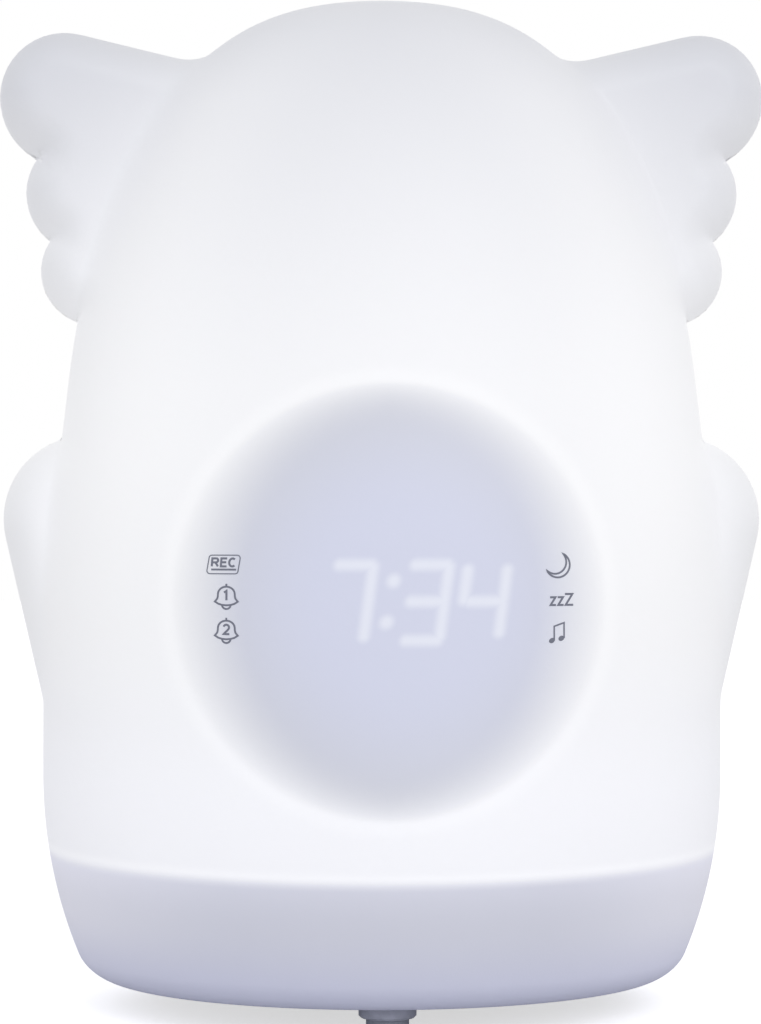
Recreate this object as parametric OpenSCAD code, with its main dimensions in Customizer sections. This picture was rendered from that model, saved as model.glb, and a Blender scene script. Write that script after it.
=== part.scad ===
// Alarm clock with night light for a child's room: a milky, lit shell in the outline of a plump
// animal with scalloped ears and short arms, a clock display behind its belly, a grey base zone,
// keys at the back and a front foot that is pressed by patting the head.
// Millimetres. Z up, the table at z = 0, the front faces -Y, X runs to the viewer's right.

/* [Body] */
// Height of the crown above the table
height = 198.8; // [195:0.1:201]
// Greatest width of the body, arms and ears left out
belly_w = 134.8; // [134:0.2:137]
// Height of the widest part of the belly
belly_z = 46; // [44:1:49]
// Depth of the body as a share of its width
depth_share = 0.85; // [0.82:0.01:0.9]
// Fullness of the crown: 2 is an ellipse, more is squarer
crown_power = 2.65; // [2.6:0.05:2.8]
// Semi-height of the ellipse that draws the belly in towards the base
tuck_h = 80; // [76:1:90]
// How far the waist above the arms is drawn in
waist_in = 0.8; // [0:0.1:1.2]
// Height of the shell's open lower rim above the table
rim_z = 5.6; // [5:0.1:6.4]
// Radius of the rounded lower edge
rim_r = 5; // [4:0.2:6]
// Wall of the moulded shell
wall = 2.4; // [2:0.1:2.8]

/* [Ears] */
// Radius of the big top lobe
ear_r = 13.1; // [12.5:0.1:14]
// Side position of the big top lobe
ear_x = 62.9; // [62:0.1:63.3]
// How far the big lobe's centre lies below the crown
ear_drop = 19; // [18.6:0.1:20]
// Slope of the ear's straight top edge, down towards the head
ear_slope = 13.5; // [12:0.5:15]
// Radius of the middle lobe
lobe_r = 11.6; // [11.4:0.1:12.2]
// Side position of the middle lobe
lobe_x = 59.2; // [58.9:0.1:60]
// Drop from the big lobe to the middle lobe
lobe_drop = 18.8; // [18.5:0.1:19.2]
// Radius of the lowest lobe
tip_r = 10.5; // [10:0.1:11]
// Side position of the lowest lobe
tip_x = 57.4; // [57:0.1:57.7]
// Drop from the middle lobe to the lowest lobe
tip_drop = 15.4; // [15:0.1:15.8]
/* [Arms] */
// Radius of the rounded shoulder of each arm
arm_r = 16.6; // [16:0.1:17.2]
// Side position of the shoulder's centre
arm_x = 58.7; // [58:0.1:59.1]
// Height of the shoulder's centre above the widest part of the belly
arm_rise = 50.4; // [48:0.2:52]
// Lean of the arm's straight lower edge from the vertical
arm_slope = 13; // [12:0.5:15]
// Half thickness of the ears and arms
pad_d = 17; // [14:0.5:20]
// Width of the rounding along their edge
pad_r = 9; // [7:0.5:11]

/* [Base] */
// Height of the light-tight deck above the table
deck_z = 29.6; // [28.6:0.1:30.6]
// Thickness of the deck
deck_t = 2; // [1.6:0.1:2.4]
// Wall of the deck's skirt
skirt_t = 1.8; // [1.4:0.1:2]
// Thickness of the base plate
plate_t = 2.5; // [2.2:0.1:2.8]
// Diameter of the rubber feet
foot_d = 10; // [8:0.5:11]
// Side position of the rubber feet
foot_x = 39; // [38:0.5:40]
// Distance of the rubber feet behind the centre
foot_y = 20; // [18:0.5:21]

/* [Front foot] */
// Distance of the front foot behind the shell's front edge
push_in = 8.7; // [8.2:0.1:9.2]
// Diameter of the plunger
push_d = 8.1; // [7.6:0.1:8.4]
// Diameter of the collar
collar_d = 10.9; // [10.7:0.1:11.4]
// Height of the collar's lower face above the table
collar_z = 2.9; // [2.6:0.1:3.4]
// Travel of the plunger
push_travel = 1.2; // [0.8:0.1:1.4]

/* [Display] */
// Diameter of the drum round the clock display
drum_d = 80; // [77:0.5:81]
// Height of the drum's axis
drum_z = 81; // [80:0.5:83]
// Wall of the drum
drum_t = 2; // [1.6:0.1:2.4]
// Height of a digit
digit_h = 15; // [14:0.2:16]
// Width of a digit
digit_w = 7.6; // [7:0.1:8]
// Width of a lit stroke
stroke = 1.9; // [1.6:0.1:2.1]
// Lean of the digits
digit_lean = 7.8; // [0:0.2:10]
// Distance between the two digits of a pair
digit_pitch = 10.8; // [10.4:0.1:11]
// Distance between the digits on either side of the colon
colon_pitch = 13.8; // [13.2:0.1:14]
// Side position of the mode lamps
lamp_x = 30.3; // [30:0.1:31]
// Distance between two mode lamps
lamp_pitch = 6.2; // [5.8:0.1:6.4]

/* [Control panel] */
// Width of the panel
panel_w = 54; // [53:0.5:56]
// Height of the panel
panel_h = 40; // [38:0.5:42]
// Height of the panel's centre above the table
panel_z = 57; // [56:0.5:60]
// How far the panel's face is set into the back
panel_in = 7.75; // [7:0.05:8.5]
// Thickness of the panel
panel_t = 2; // [1.6:0.1:2.2]
// Diameter of a key
key_d = 9; // [8:0.2:9.4]
// Distance between the keys of a row
key_pitch = 12; // [11.8:0.1:12.2]
// Distance between the two rows of keys
row_pitch = 14; // [13.6:0.1:15]
// Travel of a key
key_travel = 0.8; // [0.5:0.1:1]

/* [Battery bay] */
// Diameter of a cell
cell_d = 10.5; // [10:0.1:10.5]
// Length of a cell
cell_l = 44.5; // [43:0.1:44.5]
// Distance of the bay's centre behind the centre of the base
bay_y = 17.5; // [17.2:0.1:18]

/* [Speaker] */
// Diameter of the speaker
speaker_d = 32; // [30:0.5:32]
// Side position of the speaker
speaker_x = 14; // [13.5:0.5:15]
// Distance of the speaker ahead of the centre
speaker_y = 12.5; // [12.5:0.1:13.5]

/* [Fits] */
// Gap between pieces that are dropped into each other
fit = 0.3; // [0.2:0.05:0.4]
// Gap between the tub and the shell around it
shell_gap = 0.6; // [0.5:0.05:0.8]
// Radial clearance of the plunger in its collar
run = 0.08; // [0.05:0.01:0.1]
// Thickness of the circuit boards
board_t = 1.6; // [1.2:0.1:1.6]

/* [Hidden] */

shell_white = [0.96, 0.96, 0.98];
inner_white = [0.85, 0.86, 0.89];
grey = [0.55, 0.56, 0.62];
dark = [0.3, 0.31, 0.35];
board_green = [0.12, 0.4, 0.25];
steel = [0.75, 0.76, 0.78];
gold = [0.8, 0.65, 0.3];
lamp_white = [1, 0.97, 0.85];

eps = 0.01;
rings = 12;                           // rings from the centre of each half to its edge
body_rings = 7;                       // those of them that lie on the round body
waist_z = belly_z + 68;               // height of the waist above the arms
waist_span = 16;                      // how far up and down the waist reaches
blend = 4.5;                          // sharpness of the step from the head down to ears and arms
corner = 5;                           // length that softens the corner between ear and crown
ear_z = height - ear_drop;
lobe_z = ear_z - lobe_drop;
tip_z = lobe_z - tip_drop;
arm_z = belly_z + arm_rise;
mid = [0, (arm_z + tip_z) / 2 + 6];   // centre that the shell's rings spread from; it sees every edge
under_deck = deck_z - deck_t;
plate_top = rim_z + plate_t;
belly_d = depth_share * belly_w / 2;
bend_r = pow(belly_w / 2, 2) / belly_d;     // bend of the shell across its front and back
board_drop = 5.6;
board_z = under_deck - board_drop;          // underside of the main board
row_z = [panel_z + row_pitch / 2, panel_z - row_pitch / 2];
key_x = [for (i = [-1.5:1.5]) i * key_pitch];
screw_r = 1.25;                             // pilot hole and shank of every screw
head_r = 2.4;
head_t = 1.5;
tower_r = 3.4;                              // screw towers and posts
tower_at = [[-43, 0], [43, 0], [-32, -27], [32, -27]];
post_at = [[-38, 19], [38, 19], [-22, -35], [22, -35]];
socket_z = 16.5;                            // axis of the power socket
socket_y = half_d(socket_z, 0) - 4.9;       // its mouth
socket_r = 3.2;
socket_w = 9;
socket_h = 11;
socket_l = 12;
socket_bore = 10;                           // depth of its bore
socket_cut = 8;                             // half length of its cut in the tub
socket_pin_r = 1;
plug_r = 5.5;                               // hole in the shell for the plug's grip
cell_z = rim_z + 2 + cell_d / 2;            // axis of the cells
bay_w = cell_l + 5;
bay_h = 2 * cell_d + 1.6;
door_w = bay_w + 11;
door_h = bay_h + 4;
door_t = 1.8;
door_x = (door_w - bay_w) / 2 - 2;          // the door reaches further past the bay at its screw
head_sunk = 0.9;                            // how deep the door's screw head is sunk
screw_x = bay_w / 2 + 3.8;                  // the door's screw
foot_peg_r = foot_d / 2 - 1.6;              // peg of a rubber foot in the plate
seat = 0.1;                                 // clearance round what is pressed into the plate
push_y = half_d(rim_z, 0) - push_in;        // the foot's place ahead of the centre
neck_r = push_d / 2 + 0.8;                  // the collar's neck in the plate
collar_top = plate_top + 1.5;
switch_t = 3.1;
bracket_h = 10.9;
bridge_z = plate_top + bracket_h;           // underside of the bracket over the front foot
panel_y = half_d(panel_z, 0) - panel_in;
key_back = panel_y - panel_t;               // inner face of the panel
key_stack = 7.5;                            // from the panel's inner face to the key board
key_board_y = key_back - key_stack;         // face of the key board
digit_y = 7.85 - half_d(drum_z, 0);         // face of the digit housing
housing_t = 11;                             // thickness of the digit housing
display_y = digit_y + housing_t;            // face of the display board
drum_depth = 14;
drum_back = display_y + drum_depth;         // outer face of the drum's back
drum_foot_w = 28;                           // its foot on the deck
drum_foot_d = 14;
drum_foot_t = 2.4;
drum_screw_at = [for (x = [-10, 10]) [x, drum_back + 5]];
digit_x = [-colon_pitch / 2 - digit_pitch, -colon_pitch / 2,
    colon_pitch / 2, colon_pitch / 2 + digit_pitch];
tube_l = 7.5;                               // tubes round the mode lamps
tube_r = 2.6;
lamp_at = [for (side = [-1, 1]) for (i = [-1:1]) [side * lamp_x, drum_z + i * lamp_pitch]];
cable_w = 12;
cable_t = 0.8;
cable_drop = 22;                            // from the drum's axis down to the cable's plug
cable_slot = [cable_w + 1, 8, 3];           // its way out of the drum's back
display_cable_y = drum_back + 3;
panel_cable_y = key_board_y - board_t - 1.5;
led_z = deck_z + 2;                         // underside of the night light's board
led_board_r = 17;
led_post_at = led_board_r - 3.5;            // its three posts, from its centre
led_ring_r = 9;
panel_corner = 7;
led_gap = 4.9;                              // from the keys' ribbon to the night light's board
led_board_y = panel_cable_y - led_gap - led_board_r;
base_screw_l = 11;                          // lengths of the screws under their heads
board_screw_l = 7;
light_screw_l = 5;
drum_screw_l = 6;
panel_screw_l = 7;

// ---- The shell's form -------------------------------------------------------------------------

// Half width of the body at height z, for a skin that lies t inside the outer one.
function edge_in(z) = z < rim_z + rim_r
    ? rim_r - sqrt(max(0, pow(rim_r, 2) - pow(rim_z + rim_r - z, 2))) : 0;
function half_w(z, t) = let (
    low = max(0, belly_z - z) / tuck_h,
    high = min(1, max(0, z - belly_z) / (height - t - belly_z)))
    (belly_w / 2 * sqrt(1 - low * low) - t) * pow(1 - pow(high, crown_power), 1 / crown_power)
    - waist_in * exp(-pow((z - waist_z) / waist_span, 2)) - edge_in(z);

// Half depth of the body at height z.
function half_d(z, t) = max(0, depth_share * (half_w(z, t) + t) - t);

// Bisection: where f(a) is below zero and f(b) above it, halved n times.
function turn(c, r, a) = c + r * [cos(a), sin(a)];
function past(p, t) = p[0] - half_w(p[1], t);
function arc_meets_body(c, r, t, a, b, n = 30) = n == 0 ? (a + b) / 2
    : let (m = (a + b) / 2) past(turn(c, r, m), t) < 0
        ? arc_meets_body(c, r, t, m, b, n - 1) : arc_meets_body(c, r, t, a, m, n - 1);
function line_meets_body(p, d, t, a, b, n = 30) = n == 0 ? p + d * (a + b) / 2
    : let (m = (a + b) / 2) past(p + d * m, t) < 0
        ? line_meets_body(p, d, t, m, b, n - 1) : line_meets_body(p, d, t, a, m, n - 1);

// Outer crossing of two circles, the first one below the second.
function crossing(p, r, q, s) = let (
    d = norm(q - p), a = (r * r - s * s + d * d) / (2 * d), u = (q - p) / d)
    p + a * u + sqrt(r * r - a * a) * [u[1], -u[0]];
function bearing(c, p) = atan2(p[1] - c[1], p[0] - c[0]);
function arc(c, r, a, b, n) = [for (i = [1:n]) turn(c, r, a + (b - a) * i / n)];
function soft(a, k, b, n) = [for (i = [1:n]) let (u = i / n)
    (1 - u) * (1 - u) * a + 2 * u * (1 - u) * k + u * u * b];
function body_run(z0, z1, t, n) = [for (i = [1:n]) let (z = z0 + (z1 - z0) * i / n) [half_w(z, t), z]];

// The silhouette's right half, from the middle of the rim round to the crown, t inside the edge.
function half_outline(t) = let (
    arm = [arm_x, arm_z], tip = [tip_x, tip_z], lobe = [lobe_x, lobe_z], ear = [ear_x, ear_z],
    arm_t = turn(arm, arm_r - t, -arm_slope),
    arm_foot = line_meets_body(arm_t, [sin(arm_slope), cos(arm_slope)], t, -arm_rise, 0),
    arm_top = arc_meets_body(arm, arm_r - t, t, 90, 0),
    tip_low = arc_meets_body(tip, tip_r - t, t, -90, 0),
    notch_1 = crossing(tip, tip_r, lobe, lobe_r),
    notch_2 = crossing(lobe, lobe_r, ear, ear_r),
    ear_t = turn(ear, ear_r - t, 90 + ear_slope),
    nook = line_meets_body(ear_t, inward(ear_slope), t, ear_x - 10, 0),
    nook_out = nook - corner * inward(ear_slope),
    nook_z = nook[1] + corner * 0.55,
    nook_in = [half_w(nook_z, t), nook_z],
    c = height - t - belly_z,
    crown_a = asin(pow((nook_z - belly_z) / c, crown_power / 2)))
    concat(
        [for (i = [0:9]) [half_w(rim_z, t) * sin(10 * i), rim_z]],
        [for (a = [30, 60, 90]) let (z = rim_z + rim_r * (1 - cos(a))) [half_w(z, t), z]],
        body_run(rim_z + rim_r, arm_foot[1], t, 6),
        [for (i = [1:3]) arm_foot + (arm_t - arm_foot) * i / 3],
        arc(arm, arm_r - t, -arm_slope, arm_top, 7),
        body_run(turn(arm, arm_r - t, arm_top)[1], turn(tip, tip_r - t, tip_low)[1], t, 3),
        arc(tip, tip_r - t, tip_low, bearing(tip, notch_1), 5),
        arc(lobe, lobe_r - t, bearing(lobe, notch_1), bearing(lobe, notch_2), 5),
        arc(ear, ear_r - t, bearing(ear, notch_2), 90 + ear_slope, 11),
        [for (i = [1:4]) ear_t + (nook_out - ear_t) * i / 4],
        soft(nook_out, nook, nook_in, 3),
        [for (i = [1:7]) let (a = crown_a + (90 - crown_a) * i / 7)
            [(belly_w / 2 - t) * pow(max(0, cos(a)), 2 / crown_power),
             belly_z + c * pow(sin(a), 2 / crown_power)]]);

// The whole silhouette: the right half, then its mirror image back down.
function outline(t) = let (right = half_outline(t), n = len(right))
    concat(right, [for (i = [n - 2:-1:1]) [-right[i][0], right[i][1]]]);

function inward(slope) = [-cos(slope), -sin(slope)];

// How deep p lies inside an outline, for a point of the right half.
function to_edge(p, a, b) = let (u = b - a, k = min(1, max(0, (p - a) * u / (u * u))))
    norm(p - a - k * u);
function depth_in(p, edge) = min([for (i = [0:len(edge) - 2]) to_edge(p, edge[i], edge[i + 1])]);

// How far the skin stands from the parting plane at p: the round body, and the flat pad of the
// ears and arms with its rounded edge, which fades out below the arms.
function stand(p, t, edge) = let (
    q = [abs(p[0]), p[1]],
    w = half_w(q[1], t),
    body = q[0] < w ? half_d(q[1], t) * sqrt(1 - pow(q[0] / w, 2)) : 0,
    near = 1 - min(1, depth_in(q, edge) / (pad_r - t)),
    low = min(1, max(0, (q[1] - belly_z) / arm_r)),
    pad = (pad_d - t) * sqrt(1 - near * near) * low * low * (3 - 2 * low))
    pow(pow(body, blend) + pow(pad, blend), 1 / blend);

// Where the line from the middle to e leaves the round body, as a share of its length.
function body_share(e, t, a = 0, b = 1, n = 20) = n == 0 ? a
    : let (m = (a + b) / 2, p = mid + m * (e - mid)) abs(p[0]) < half_w(p[1], t)
        ? body_share(e, t, m, b, n - 1) : body_share(e, t, a, m, n - 1);
function ring_share(k, s) = k <= body_rings
    ? s * sin(82 * k / body_rings) / sin(82)
    : s + (1 - s) * sin(90 * (k - body_rings) / (rings - body_rings));

// Rings of the front skin, from the one nearest the middle out to the silhouette. One of them runs
// along the step from the body down to the ears and arms.
function skin(t) = let (edge = outline(t), right = half_outline(t), n = len(edge),
    exact = [for (e = edge) min(0.96, body_share(e, t))],
    share = [for (i = [0:n - 1])
        [for (j = [-2:2]) exact[(i + j + n) % n]] * [1, 2, 3, 2, 1] / 9])
    [for (k = [1:rings]) for (i = [0:n - 1]) let (
        e = edge[i], p = mid + ring_share(k, share[i]) * (e - mid))
        [p[0], k == rings && e[1] > rim_z ? 0 : -stand(p, t, right), p[1]]];

module half_shell() {
    n = len(outline(0));
    outer = skin(0);
    inner = skin(wall);
    heart = [for (t = [0, wall]) [0, -stand(mid, t, half_outline(t)), mid[1]]];
    all_points = concat(outer, inner, heart);
    m = rings * n;
    // Each four-sided patch is split along its shorter diagonal, which keeps the creases clean.
    quads = function (base, flip) [for (k = [0:rings - 2]) for (i = [0:n - 1]) let (
        a = base + k * n + i, b = base + k * n + (i + 1) % n, c = b + n, d = a + n,
        straight = norm(all_points[a] - all_points[c]) < norm(all_points[b] - all_points[d]),
        pair = straight ? [[a, b, c], [a, c, d]] : [[a, b, d], [b, c, d]])
        each flip ? [for (f = pair) [f[0], f[2], f[1]]] : pair];
    fan = function (tip, base, flip) [for (i = [0:n - 1]) let (a = base + i, b = base + (i + 1) % n)
        flip ? [tip, a, b] : [tip, b, a]];
    rim = [for (i = [0:n - 1]) let (
        a = m - n + i, b = m - n + (i + 1) % n, c = b + m, d = a + m)
        each [[a, b, c], [a, c, d]]];
    polyhedron(all_points, concat(quads(0, false), quads(m, true),
        fan(2 * m, 0, false), fan(2 * m + 1, m, true), rim), convexity = 6);
}

module front_shell() color(shell_white) half_shell();

module rear_shell() color(shell_white) difference() {
    mirror([0, 1, 0]) half_shell();
    panel_prism(0, panel_y - 10, belly_d + 10);
    translate([0, socket_y, socket_z]) rotate([-90, 0, 0]) cylinder(r = plug_r, h = 20, $fn = 48);
}

// ---- Shared forms -----------------------------------------------------------------------------

// Round-cornered rectangle.
module slab(w, h, r) {
    square([w - 2 * r, h], center = true);
    square([w, h - 2 * r], center = true);
    for (x = [-1, 1], y = [-1, 1])
        translate([x * (w / 2 - r), y * (h / 2 - r)]) circle(r, $fn = 32);
}

// Oval of the body's plan at height z, t inside the outer skin.
function oval_points(z, t, n = 72) = [for (i = [0:n - 1]) let (a = 360 * i / n)
    [half_w(z, t) * cos(a), half_d(z, t) * sin(a)]];

// Skin through a list of rings of equal length, closed at its first and last ring.
module loft(ring_list) {
    n = len(ring_list[0]);
    last = len(ring_list) - 1;
    polyhedron([for (r = ring_list) each r], concat(
        [[for (i = [0:n - 1]) i]],
        [for (k = [0:last - 1]) for (i = [0:n - 1]) let (
            a = k * n + i, b = k * n + (i + 1) % n, c = b + n, d = a + n)
            each [[a, c, b], [a, d, c]]],
        [[for (i = [n - 1:-1:0]) last * n + i]]), convexity = 6);
}
function ring_at(z, t) = [for (p = oval_points(z, t)) [p[0], p[1], z]];

// Solid that fills the shell up to t from its skin, over the belly's front or back.
module barrel(side, t) translate([0, -side * (bend_r - belly_d), 0]) rotate_extrude($fn = 180)
    polygon(concat([[0, 10], [bend_r - belly_d + half_d(10, 0) - t, 10]],
        [for (z = [20:10:140]) [bend_r - belly_d + half_d(z, 0) - t, z]], [[0, 140]]));

// Outline of the panel, g inside its opening, from y = a to y = b.
module panel_prism(g, a, b) translate([0, b, panel_z]) rotate([90, 0, 0])
    linear_extrude(b - a) slab(panel_w - 2 * g, panel_h - 2 * g, panel_corner - g);

// Screw with its head's outer face at the origin and its shank pointing up.
module screw(length) {
    difference() {
        cylinder(r = head_r, h = head_t, $fn = 32);
        for (a = [0, 90]) rotate(a) cube([2.6, 0.6, 1.6], center = true);
    }
    translate([0, 0, head_t - eps]) cylinder(r = screw_r, h = length - head_t + eps, $fn = 24);
}

// ---- Base -------------------------------------------------------------------------------------

// Light-tight tub that carries everything: a deck with a skirt that follows the shell.
module light_deck() color(inner_white) {
    out = wall + shell_gap;
    in = out + skirt_t;
    difference() {
        union() {
            loft([ring_at(under_deck, in), ring_at(plate_top + 8, in), ring_at(plate_top + fit, in),
                ring_at(plate_top + fit, out), ring_at(plate_top + 8, out), ring_at(deck_z, out)]);
            for (p = tower_at) translate([p[0], p[1], plate_top])
                cylinder(r = tower_r, h = deck_z - plate_top - 1, $fn = 32);
            for (p = post_at) translate([p[0], p[1], board_z + board_t])
                cylinder(r = tower_r, h = deck_z - board_z - board_t - 1, $fn = 32);
            for (a = [90, 210, 330]) translate([0, led_board_y, deck_z - 1]) rotate(a)
                translate([led_post_at, 0, 0]) cylinder(r = 2.8, h = led_z - deck_z + 1, $fn = 32);
        }
        for (p = tower_at) translate([p[0], p[1], plate_top - eps])
            cylinder(r = screw_r, h = base_screw_l + 1, $fn = 24);
        for (p = post_at) translate([p[0], p[1], board_z])
            cylinder(r = screw_r, h = board_screw_l - 1, $fn = 24);
        for (a = [90, 210, 330]) translate([0, led_board_y, deck_z - 2 + eps]) rotate(a)
            translate([led_post_at, 0, 0]) cylinder(r = screw_r, h = light_screw_l, $fn = 24);
        for (p = drum_screw_at) translate([p[0], p[1], deck_z - drum_screw_l + 1])
            cylinder(r = screw_r, h = drum_screw_l, $fn = 24);
        for (y = [display_cable_y, panel_cable_y]) translate([0, y, deck_z])
            cube([cable_w + 2, 4, 3 * deck_t], center = true);
        translate([0, socket_y, socket_z])
            cube([socket_w + 2 * fit, 2 * socket_cut, socket_h + 2 * fit], center = true);
    }
}

module base_plate() color(inner_white) difference() {
    union() {
        translate([0, 0, rim_z]) linear_extrude(plate_t) polygon(oval_points(rim_z, wall + shell_gap));
        // Walls and roof of the battery bay.
        translate([0, bay_y, rim_z]) linear_extrude(cell_d + 4.4) slab(bay_w + 3, bay_h + 3, 2);
        translate([screw_x, bay_y, rim_z]) cylinder(r = tower_r, h = 9, $fn = 32);
        for (p = tower_at) translate([p[0], p[1], rim_z]) cylinder(r = tower_r, h = plate_t, $fn = 32);
    }
    // The bay, the seat of its door and the grille of the speaker.
    translate([0, bay_y, rim_z - eps]) linear_extrude(cell_d + 3) slab(bay_w, bay_h, 1);
    translate([door_x, bay_y, rim_z - eps])
        linear_extrude(door_t + eps) slab(door_w + 2 * fit, door_h + 2 * fit, 3);
    translate([screw_x, bay_y, rim_z]) cylinder(r = screw_r, h = 8, $fn = 24);
    for (k = [0:2]) for (i = [0:max(0, 6 * k - 1)])
        translate([speaker_x + 4 * k * cos(60 * i / max(1, k)),
            -speaker_y + 4 * k * sin(60 * i / max(1, k)), rim_z - eps])
            cylinder(r = 1, h = plate_t + 1, $fn = 24);
    for (p = tower_at) translate([p[0], p[1], rim_z - eps]) {
        cylinder(r = head_r + 0.2, h = head_t + 0.2 + eps, $fn = 32);
        cylinder(r = screw_r + 0.2, h = plate_t + 1, $fn = 24);
    }
    translate([0, -push_y, rim_z - eps]) cylinder(r = neck_r + seat, h = plate_t + 1, $fn = 48);
    for (x = [-1, 1]) translate([x * foot_x, foot_y, rim_z - eps])
        cylinder(r = foot_peg_r + seat, h = 1.2, $fn = 32);
}

module base_screws() color(steel) for (p = tower_at)
    translate([p[0], p[1], rim_z + 0.2]) screw(base_screw_l);

module rear_feet() color(dark) for (x = [-1, 1]) translate([x * foot_x, foot_y, 0]) {
    rotate_extrude($fn = 48) polygon([[0, 0], [foot_d / 2 - 0.8, 0], [foot_d / 2, 0.8],
        [foot_d / 2, rim_z], [foot_peg_r, rim_z], [foot_peg_r, rim_z + 1], [0, rim_z + 1]]);
}

// ---- Front foot: a sprung plunger in a collar -------------------------------------------------

module foot_collar() color(grey) translate([0, -push_y, 0]) rotate_extrude($fn = 64)
    polygon([[push_d / 2 + run, collar_z], [collar_d / 2 - 0.4, collar_z],
        [collar_d / 2, collar_z + 0.4], [collar_d / 2, rim_z], [neck_r, rim_z],
        [neck_r, collar_top], [push_d / 2 + run, collar_top]]);

flange_z = collar_top + fit;
flange_t = 1.6;
switch_low = bridge_z - switch_t - 0.4;       // lower end of the foot switch's actuator
module foot_plunger() color(dark) translate([0, -push_y, 0]) rotate_extrude($fn = 64)
    polygon([[0, 0], [push_d / 2 - 0.7, 0], [push_d / 2, 0.7], [push_d / 2, flange_z],
        [push_d / 2 + 2.2, flange_z], [push_d / 2 + 2.2, flange_z + flange_t],
        [2, flange_z + flange_t], [2, switch_low - push_travel - 0.2],
        [0, switch_low - push_travel - 0.2]]);

// Coil spring: a six-sided wire swept along a helix, closed by flat ends.
spring_r = push_d / 2 + 1.2;
wire_r = 0.35;
spring_steps = 54;
spring_rise = bridge_z - flange_z - flange_t - 2 * wire_r - 0.02;
function wire_ring(i) = let (a = 30 * i, z = spring_rise * i / spring_steps)
    [for (j = [0:5]) let (b = 60 * j, r = spring_r + wire_r * cos(b))
        [r * cos(a), r * sin(a), z + wire_r * sin(b)]];
module foot_spring() color(steel) translate([0, -push_y, flange_z + flange_t + wire_r])
    loft([for (i = [0:spring_steps]) wire_ring(i)]);

bracket_w = 20;
bracket_d = 8;
bracket_t = 1.8;
bracket_lug = 3;
module foot_bracket() color(inner_white) translate([0, -push_y, 0]) {
    translate([-bracket_w / 2, -bracket_d / 2, bridge_z]) cube([bracket_w, bracket_d, board_t]);
    for (side = [-1, 1]) mirror([side < 0 ? 1 : 0, 0, 0])
        translate([bracket_w / 2 - bracket_t, -bracket_d / 2, plate_top]) {
            cube([bracket_t, bracket_d, bridge_z - plate_top + eps]);
            cube([bracket_t + bracket_lug, bracket_d, 1.2]);
        }
}

module tact_switch() {
    translate([-3, -3, 0]) cube([6, 6, switch_t]);
    cylinder(r = 1.7, h = switch_t + 0.4, $fn = 32);
}

module foot_switch() color(dark) translate([0, -push_y, bridge_z]) mirror([0, 0, 1]) tact_switch();

// ---- Battery bay ------------------------------------------------------------------------------

module battery_door() color(inner_white) difference() {
    union() {
        translate([door_x, bay_y, rim_z])
            linear_extrude(door_t) slab(door_w, door_h, 3);
        // Two tabs that hook behind the plate's edge.
        for (y = [-6, 6]) translate([-bay_w / 2 + 1, bay_y + y - 2, rim_z + door_t - eps])
            cube([1.4, 4, 1.5]);
    }
    translate([screw_x, bay_y, rim_z - eps]) {
        cylinder(r = head_r + 0.2, h = head_sunk + eps, $fn = 32);
        cylinder(r = screw_r + 0.2, h = door_t + 1, $fn = 24);
    }
}

module door_screw() color(steel) translate([screw_x, bay_y, rim_z - head_t + head_sunk])
    screw(8);

module battery_cells() color(gold) for (i = [-1, 1])
    translate([-cell_l / 2, bay_y + i * (cell_d / 2 + 0.2), cell_z]) rotate([0, 90, 0]) {
        mirror([0, 0, i < 0 ? 1 : 0]) translate([0, 0, i < 0 ? -cell_l : 0]) {
            cylinder(d = cell_d, h = cell_l - 1, $fn = 48);
            cylinder(d = 3.8, h = cell_l, $fn = 32);
        }
    }

module battery_contacts() color(steel) for (side = [-1, 1]) for (i = [-1, 1])
    translate([side * bay_w / 2, bay_y + i * (cell_d / 2 + 0.2), cell_z]) {
        translate([side < 0 ? 0 : -0.5, -4.5, -4.5]) cube([0.5, 9, 9]);
        rotate([0, -side * 90, 0]) cylinder(d = 3, h = (bay_w - cell_l) / 2 - 0.1, $fn = 24);
    }

// ---- Speaker ----------------------------------------------------------------------------------

module at_speaker() translate([speaker_x, -speaker_y, plate_top]) children();

basket_rim = 2;                       // width of the basket's flat rim
basket_rim_t = 1.5;
basket_t = 1;                         // sheet of the basket
basket_h = 6.5;                       // height of its back, where the magnet sits
basket_r = 9;
coil_r = 4;
coil_h = 5.4;
cone_z = 0.4;                         // height of the cone's edge above the grille
cone_t = 0.5;
cone_rise = 2.8;                      // from the cone's edge up to the coil
module speaker_frame() color(dark) at_speaker() rotate_extrude($fn = 64)
    polygon([[speaker_d / 2 - basket_rim, 0], [speaker_d / 2, 0], [speaker_d / 2, basket_rim_t],
        [speaker_d / 2 - basket_rim_t, basket_rim], [basket_r, basket_h - basket_t],
        [basket_r, basket_h], [coil_r + basket_t, basket_h],
        [coil_r + basket_t, basket_h - basket_t], [basket_r - basket_t, basket_h - basket_rim_t],
        [speaker_d / 2 - basket_rim, basket_rim_t - fit]]);

module speaker_cone() color(grey) at_speaker() rotate_extrude($fn = 64)
    polygon([[0, coil_h / 2], [coil_r, cone_z + cone_rise], [speaker_d / 2 - basket_rim, cone_z],
        [speaker_d / 2 - basket_rim, cone_z + cone_t], [coil_r, cone_z + cone_t + cone_rise],
        [coil_r, coil_h], [0, coil_h]]);

magnet_d = 16;
magnet_t = 4.5;
module speaker_magnet() color(steel) at_speaker() translate([0, 0, basket_h])
    cylinder(d = magnet_d, h = magnet_t, $fn = 48);

// ---- Main board -------------------------------------------------------------------------------

module main_board() color(board_green) difference() {
    translate([0, 0, board_z]) linear_extrude(board_t)
        polygon(oval_points(board_z, wall + shell_gap + skirt_t + 2.7));
    for (p = tower_at) translate([p[0], p[1], board_z - 1]) cylinder(r = tower_r + 0.6, h = 4, $fn = 32);
    for (p = post_at) translate([p[0], p[1], board_z - 1]) cylinder(r = screw_r + 0.1, h = 4, $fn = 24);
}

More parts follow.
